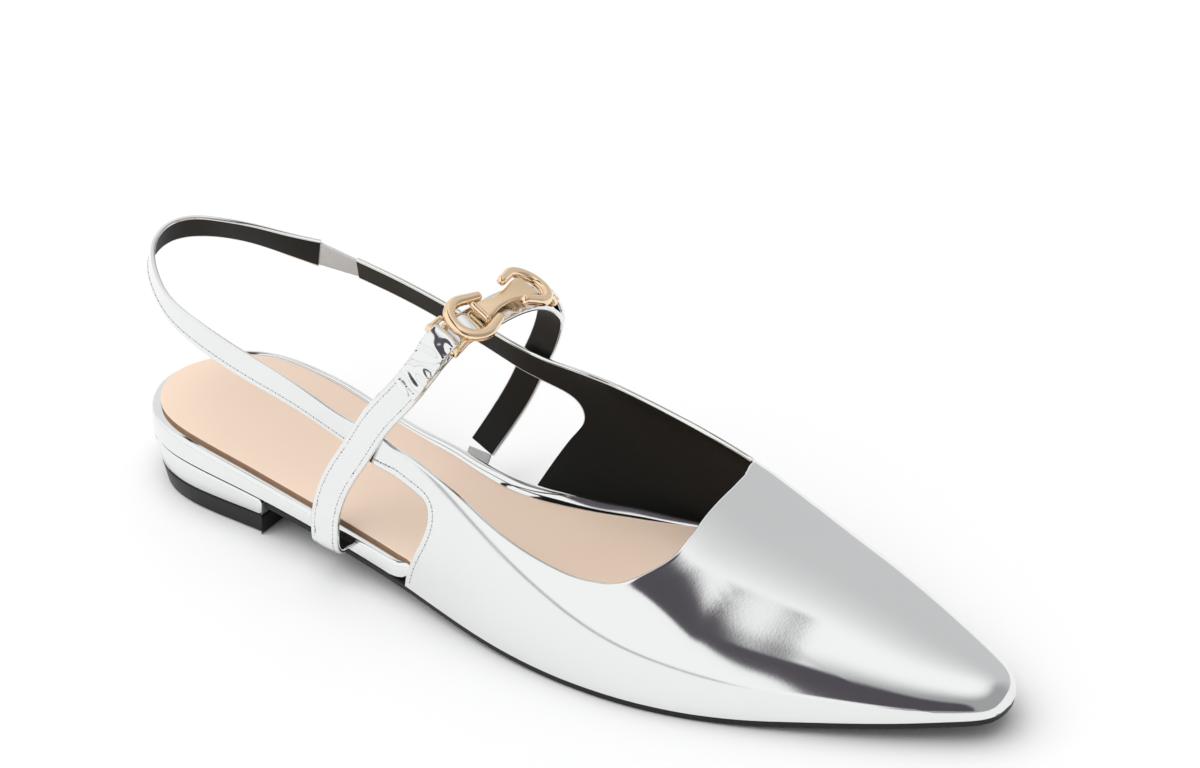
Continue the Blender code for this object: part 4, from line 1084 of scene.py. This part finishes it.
# Strap loops: a thin gold rod on each ring, through the fold of the strap, with a square knob at
# each of its corners.
LOOP_ROD = 1.6 * MM
LOOP = (
    (-6.5 * MM, -4.7 * MM, -1.1 * MM), (-8.4 * MM, -4.9 * MM, -2.2 * MM),
    (-9.5 * MM, -4.8 * MM, -2.9 * MM), (-9.9 * MM, -4.1 * MM, -3.1 * MM),
    (-9.9 * MM, 0.0, -3.1 * MM),
)
LOOP_POINTS = 60
KNOB = 2.3 * MM
KNOB_NARROWING = 0.8
KNOB_BEVEL = 0.35 * MM
KNOB_SHARP = 0.6
KNOB_PLACE = (-9.6 * MM, 4.7 * MM, -2.9 * MM)
for label, ring, _ in ENDS:
    centre, inward_way, across_way, up_way = ring_frame(ring)
    half = np.array(LOOP)
    flat = np.concatenate([half, half[-2::-1] * (1, -1, 1)])
    knots = centre + flat[:, :1] * inward_way + flat[:, 1:2] * across_way + flat[:, 2:] * up_way
    places = run_along(knots)
    wanted = np.linspace(0, places[-1], LOOP_POINTS)
    path = fair_line(places, knots, wanted, bent)
    thick = [LOOP_ROD] * LOOP_POINTS
    rod = cast_rod(f"gold_{label}_loop", path, up_way, thick, thick)
    fit(rod, f"{label}_loop", "gold", gold)
    for side, corner in ((-1, "a"), (1, "b")):
        bpy.ops.object.select_all(action="DESELECT")
        bpy.ops.mesh.primitive_cube_add(size=KNOB)
        knob = bpy.context.object
        knob.name = f"gold_{label}_loop_knob_{corner}"
        bpy.ops.object.mode_set(mode="EDIT")
        bpy.ops.mesh.bevel(offset=KNOB_BEVEL, segments=3, affect="EDGES")
        bpy.ops.object.mode_set(mode="OBJECT")
        away, apart, high = KNOB_PLACE
        spot = centre + away * inward_way + side * apart * across_way + high * up_way + HEEL_BACK
        for vertex in knob.data.vertices:
            a, b, c = vertex.co
            flat = a * inward_way + b * across_way
            vertex.co = Vector(spot + flat * KNOB_NARROWING + c * up_way)
        mesh = bmesh.new()
        mesh.from_mesh(knob.data)
        bmesh.ops.recalc_face_normals(mesh, faces=mesh.faces)
        mesh.to_mesh(knob.data)
        mesh.free()
        for face in knob.data.polygons:
            face.use_smooth = True
        knob.data.set_sharp_from_angle(angle=KNOB_SHARP)
        fit(knob, f"{label}_loop", "gold", gold)


# Link: a bare waisted plate of satin gold between the rings, bright at its edges. Its near end is
# rolled round a pin that sits between the arms of the near ring.
LINK_NEAR_SEAT = 4.3 * MM
LINK_FAR_SEAT = -0.3 * MM
LINK_THICK = 1.4 * MM
LINK_ARCH = 0.5 * MM
LINK_HALF_WIDTHS = (
    (0.00, 2.75 * MM), (0.07, 2.75 * MM), (0.20, 2.15 * MM), (0.38, 1.9 * MM), (0.54, 2.1 * MM),
    (0.70, 2.8 * MM), (0.86, 3.5 * MM), (1.00, 3.6 * MM),
)
LINK_SQUARENESS = (3.4, 3.0)
LINK_POINTS = 50
LINK_SIDES = 40
LINK_SHARP = 0.9
PIN_THICK = 2.1 * MM
PIN_LENGTH = 5.2 * MM
PIN_SEAT = 3.5 * MM
PIN_POINTS = 9
near = ring_frame(NEAR_RING)
far = ring_frame(FAR_RING)
start = near[0] + near[1] * LINK_NEAR_SEAT
end = far[0] + far[1] * LINK_FAR_SEAT
shares = np.linspace(0, 1, LINK_POINTS)
link_across = unit(near[2] + (far[2] - near[2]) * shares[:, None])
link_up = unit(near[3] + (far[3] - near[3]) * shares[:, None])
link_arch = LINK_ARCH * 4 * shares * (1 - shares)
link_mid = start + (end - start) * shares[:, None] + link_up * link_arch[:, None]
half_widths = fair(column(LINK_HALF_WIDTHS, 0), column(LINK_HALF_WIDTHS, 1), shares)
turns = np.linspace(0, 2 * np.pi, LINK_SIDES, endpoint=False)
flat = squared(np.cos(turns), LINK_SQUARENESS[0])
high = squared(np.sin(turns), LINK_SQUARENESS[1])
link_rings = []
for i in range(LINK_POINTS):
    sides = link_across[i] * flat[:, None] * half_widths[i]
    link_rings.append(link_mid[i] + sides + link_up[i] * high[:, None] * LINK_THICK / 2)
link = loft("gold_link", link_rings, None, LINK_SHARP)
fit(link, "link_plate", "gold", satin_gold)
pin_reach = np.linspace(-PIN_LENGTH / 2, PIN_LENGTH / 2, PIN_POINTS)
pin_path = near[0] + near[1] * PIN_SEAT + near[2] * pin_reach[:, None]
pin = cast_rod("gold_pin", pin_path, near[3], [PIN_THICK] * PIN_POINTS, [PIN_THICK] * PIN_POINTS)
fit(pin, "link_plate", "gold", gold)


# Studio: a white floor, a soft sky whose panels give the mirror leather its dark and light
# reflections, and the camera at the photograph's place.
FLOOR_SIZE = 12.0
FLOOR_WHITE = (0.93, 0.93, 0.93)
CAMERA_PLACE = (0.37027, -0.55829, 0.45769)
CAMERA_TURN = np.radians((59.3, 0.0, 32.4))
LENS = 91.14
SENSOR = 36.0
KEY_STRENGTH = 1.32
KEY_SIZE = np.radians(75)
KEY_TURN = np.radians((12, -18, 0))
SKY_BASE = (0.40, 0.40, 0.41)
# Panels: colour, azimuth from and to, elevation from and to, and the softness of each of these
# four edges, in degrees
PANELS = (
    ((1.04, 1.05, 1.04), (-200, -62, -40, 75), (20, 6, 20, 20)),
    ((0.64, 0.64, 0.65), (50, 112, -30, 66), (30, 16, 20, 34)),
    ((0.86, 0.86, 0.86), (112, 200, -40, 75), (16, 20, 20, 20)),
    ((1.06, 1.06, 1.06), (-200, 200, 60, 100), (20, 20, 34, 20)),
    ((0.50, 0.50, 0.50), (-200, -76, -0.5, 2.2), (5, 5, 0.6, 1.4)),
)
# The dark flag beside the camera. Each edge is a straight line seen from above: the way across
# it, how far out it lies, and whether the flag is on its far side. The right edge turns once.
FLAG = (0.092, 0.082, 0.098)
FLAG_EDGES = (
    ((1.0, 0.602, 0.0), -0.232, True), ((1.0, 0.236, 0.0), 0.12, False),
    ((0.30, 1.0, 0.0), -0.46, False), ((0.0, 1.0, 0.0), 0.28, False),
)
FLAG_SOFT = (0.04, 0.035, 0.09, 0.10)
# The flag's lower end and its softness, in degrees above the horizon
FLAG_LOW = (6, 3)


def soft_step(tree, source, limit, soft, rising):
    """Smooth rise or fall of a mask at a limit."""
    step = tree.nodes.new("ShaderNodeMapRange")
    step.interpolation_type = "SMOOTHSTEP"
    sign = 1 if rising else -1
    step.inputs["From Min"].default_value = limit - sign * soft / 2
    step.inputs["From Max"].default_value = limit + sign * soft / 2
    tree.links.new(source, step.inputs["Value"])
    return step.outputs["Result"]


def calculate(tree, operation, first, second=None):
    node = tree.nodes.new("ShaderNodeMath")
    node.operation = operation
    tree.links.new(first, node.inputs[0])
    if second is not None:
        tree.links.new(second, node.inputs[1])
    return node.outputs["Value"]


def product(tree, masks):
    """Mask that is there only where all of these are."""
    total = masks[0]
    for mask in masks[1:]:
        total = calculate(tree, "MULTIPLY", total, mask)
    return total


def make_sky():
    world = bpy.data.worlds.new("studio")
    bpy.context.scene.world = world
    world.use_nodes = True
    tree = world.node_tree
    place = tree.nodes.new("ShaderNodeTexCoord")
    split = tree.nodes.new("ShaderNodeSeparateXYZ")
    tree.links.new(place.outputs["Generated"], split.inputs["Vector"])
    azimuth = calculate(tree, "ARCTAN2", split.outputs["Y"], split.outputs["X"])
    elevation = calculate(tree, "ARCSINE", split.outputs["Z"])
    colour = SKY_BASE
    sources = (azimuth, azimuth, elevation, elevation)
    for light, limits, soft in PANELS:
        steps = zip(sources, np.radians(limits), np.radians(soft), (True, False, True, False))
        masks = [soft_step(tree, *step) for step in steps]
        colour = lay_over(tree, colour, light, product(tree, masks))
    edges = []
    for (way, limit, beyond), soft in zip(FLAG_EDGES, FLAG_SOFT):
        side = tree.nodes.new("ShaderNodeVectorMath")
        side.operation = "DOT_PRODUCT"
        side.inputs[1].default_value = way
        tree.links.new(place.outputs["Generated"], side.inputs[0])
        edges.append(soft_step(tree, side.outputs["Value"], limit, soft, beyond))
    right = calculate(tree, "MAXIMUM", edges[1], edges[2])
    above = soft_step(tree, elevation, *np.radians(FLAG_LOW), True)
    colour = lay_over(tree, colour, FLAG, product(tree, (right, edges[0], edges[3], above)))
    tree.links.new(colour, tree.nodes["Background"].inputs["Color"])


make_sky()
bpy.ops.object.select_all(action="DESELECT")
bpy.ops.mesh.primitive_plane_add(size=FLOOR_SIZE)
floor = bpy.context.object
floor.name = "floor"
floor.data.materials.append(surface("white floor", FLOOR_WHITE, 0.8, 0.0, 60, 2, 0.0001))
key_data = bpy.data.lights.new("key", "SUN")
key_data.energy = KEY_STRENGTH
key_data.angle = KEY_SIZE
key = bpy.data.objects.new("key", key_data)
key.rotation_euler = KEY_TURN
key.visible_glossy = False
bpy.context.scene.collection.objects.link(key)
camera_data = bpy.data.cameras.new("camera")
camera_data.sensor_width = SENSOR
camera_data.lens = LENS
camera = bpy.data.objects.new("camera", camera_data)
camera.location = CAMERA_PLACE
camera.rotation_euler = CAMERA_TURN
bpy.context.scene.collection.objects.link(camera)
bpy.context.scene.camera = camera
bpy.context.scene.view_settings.view_transform = "Standard"
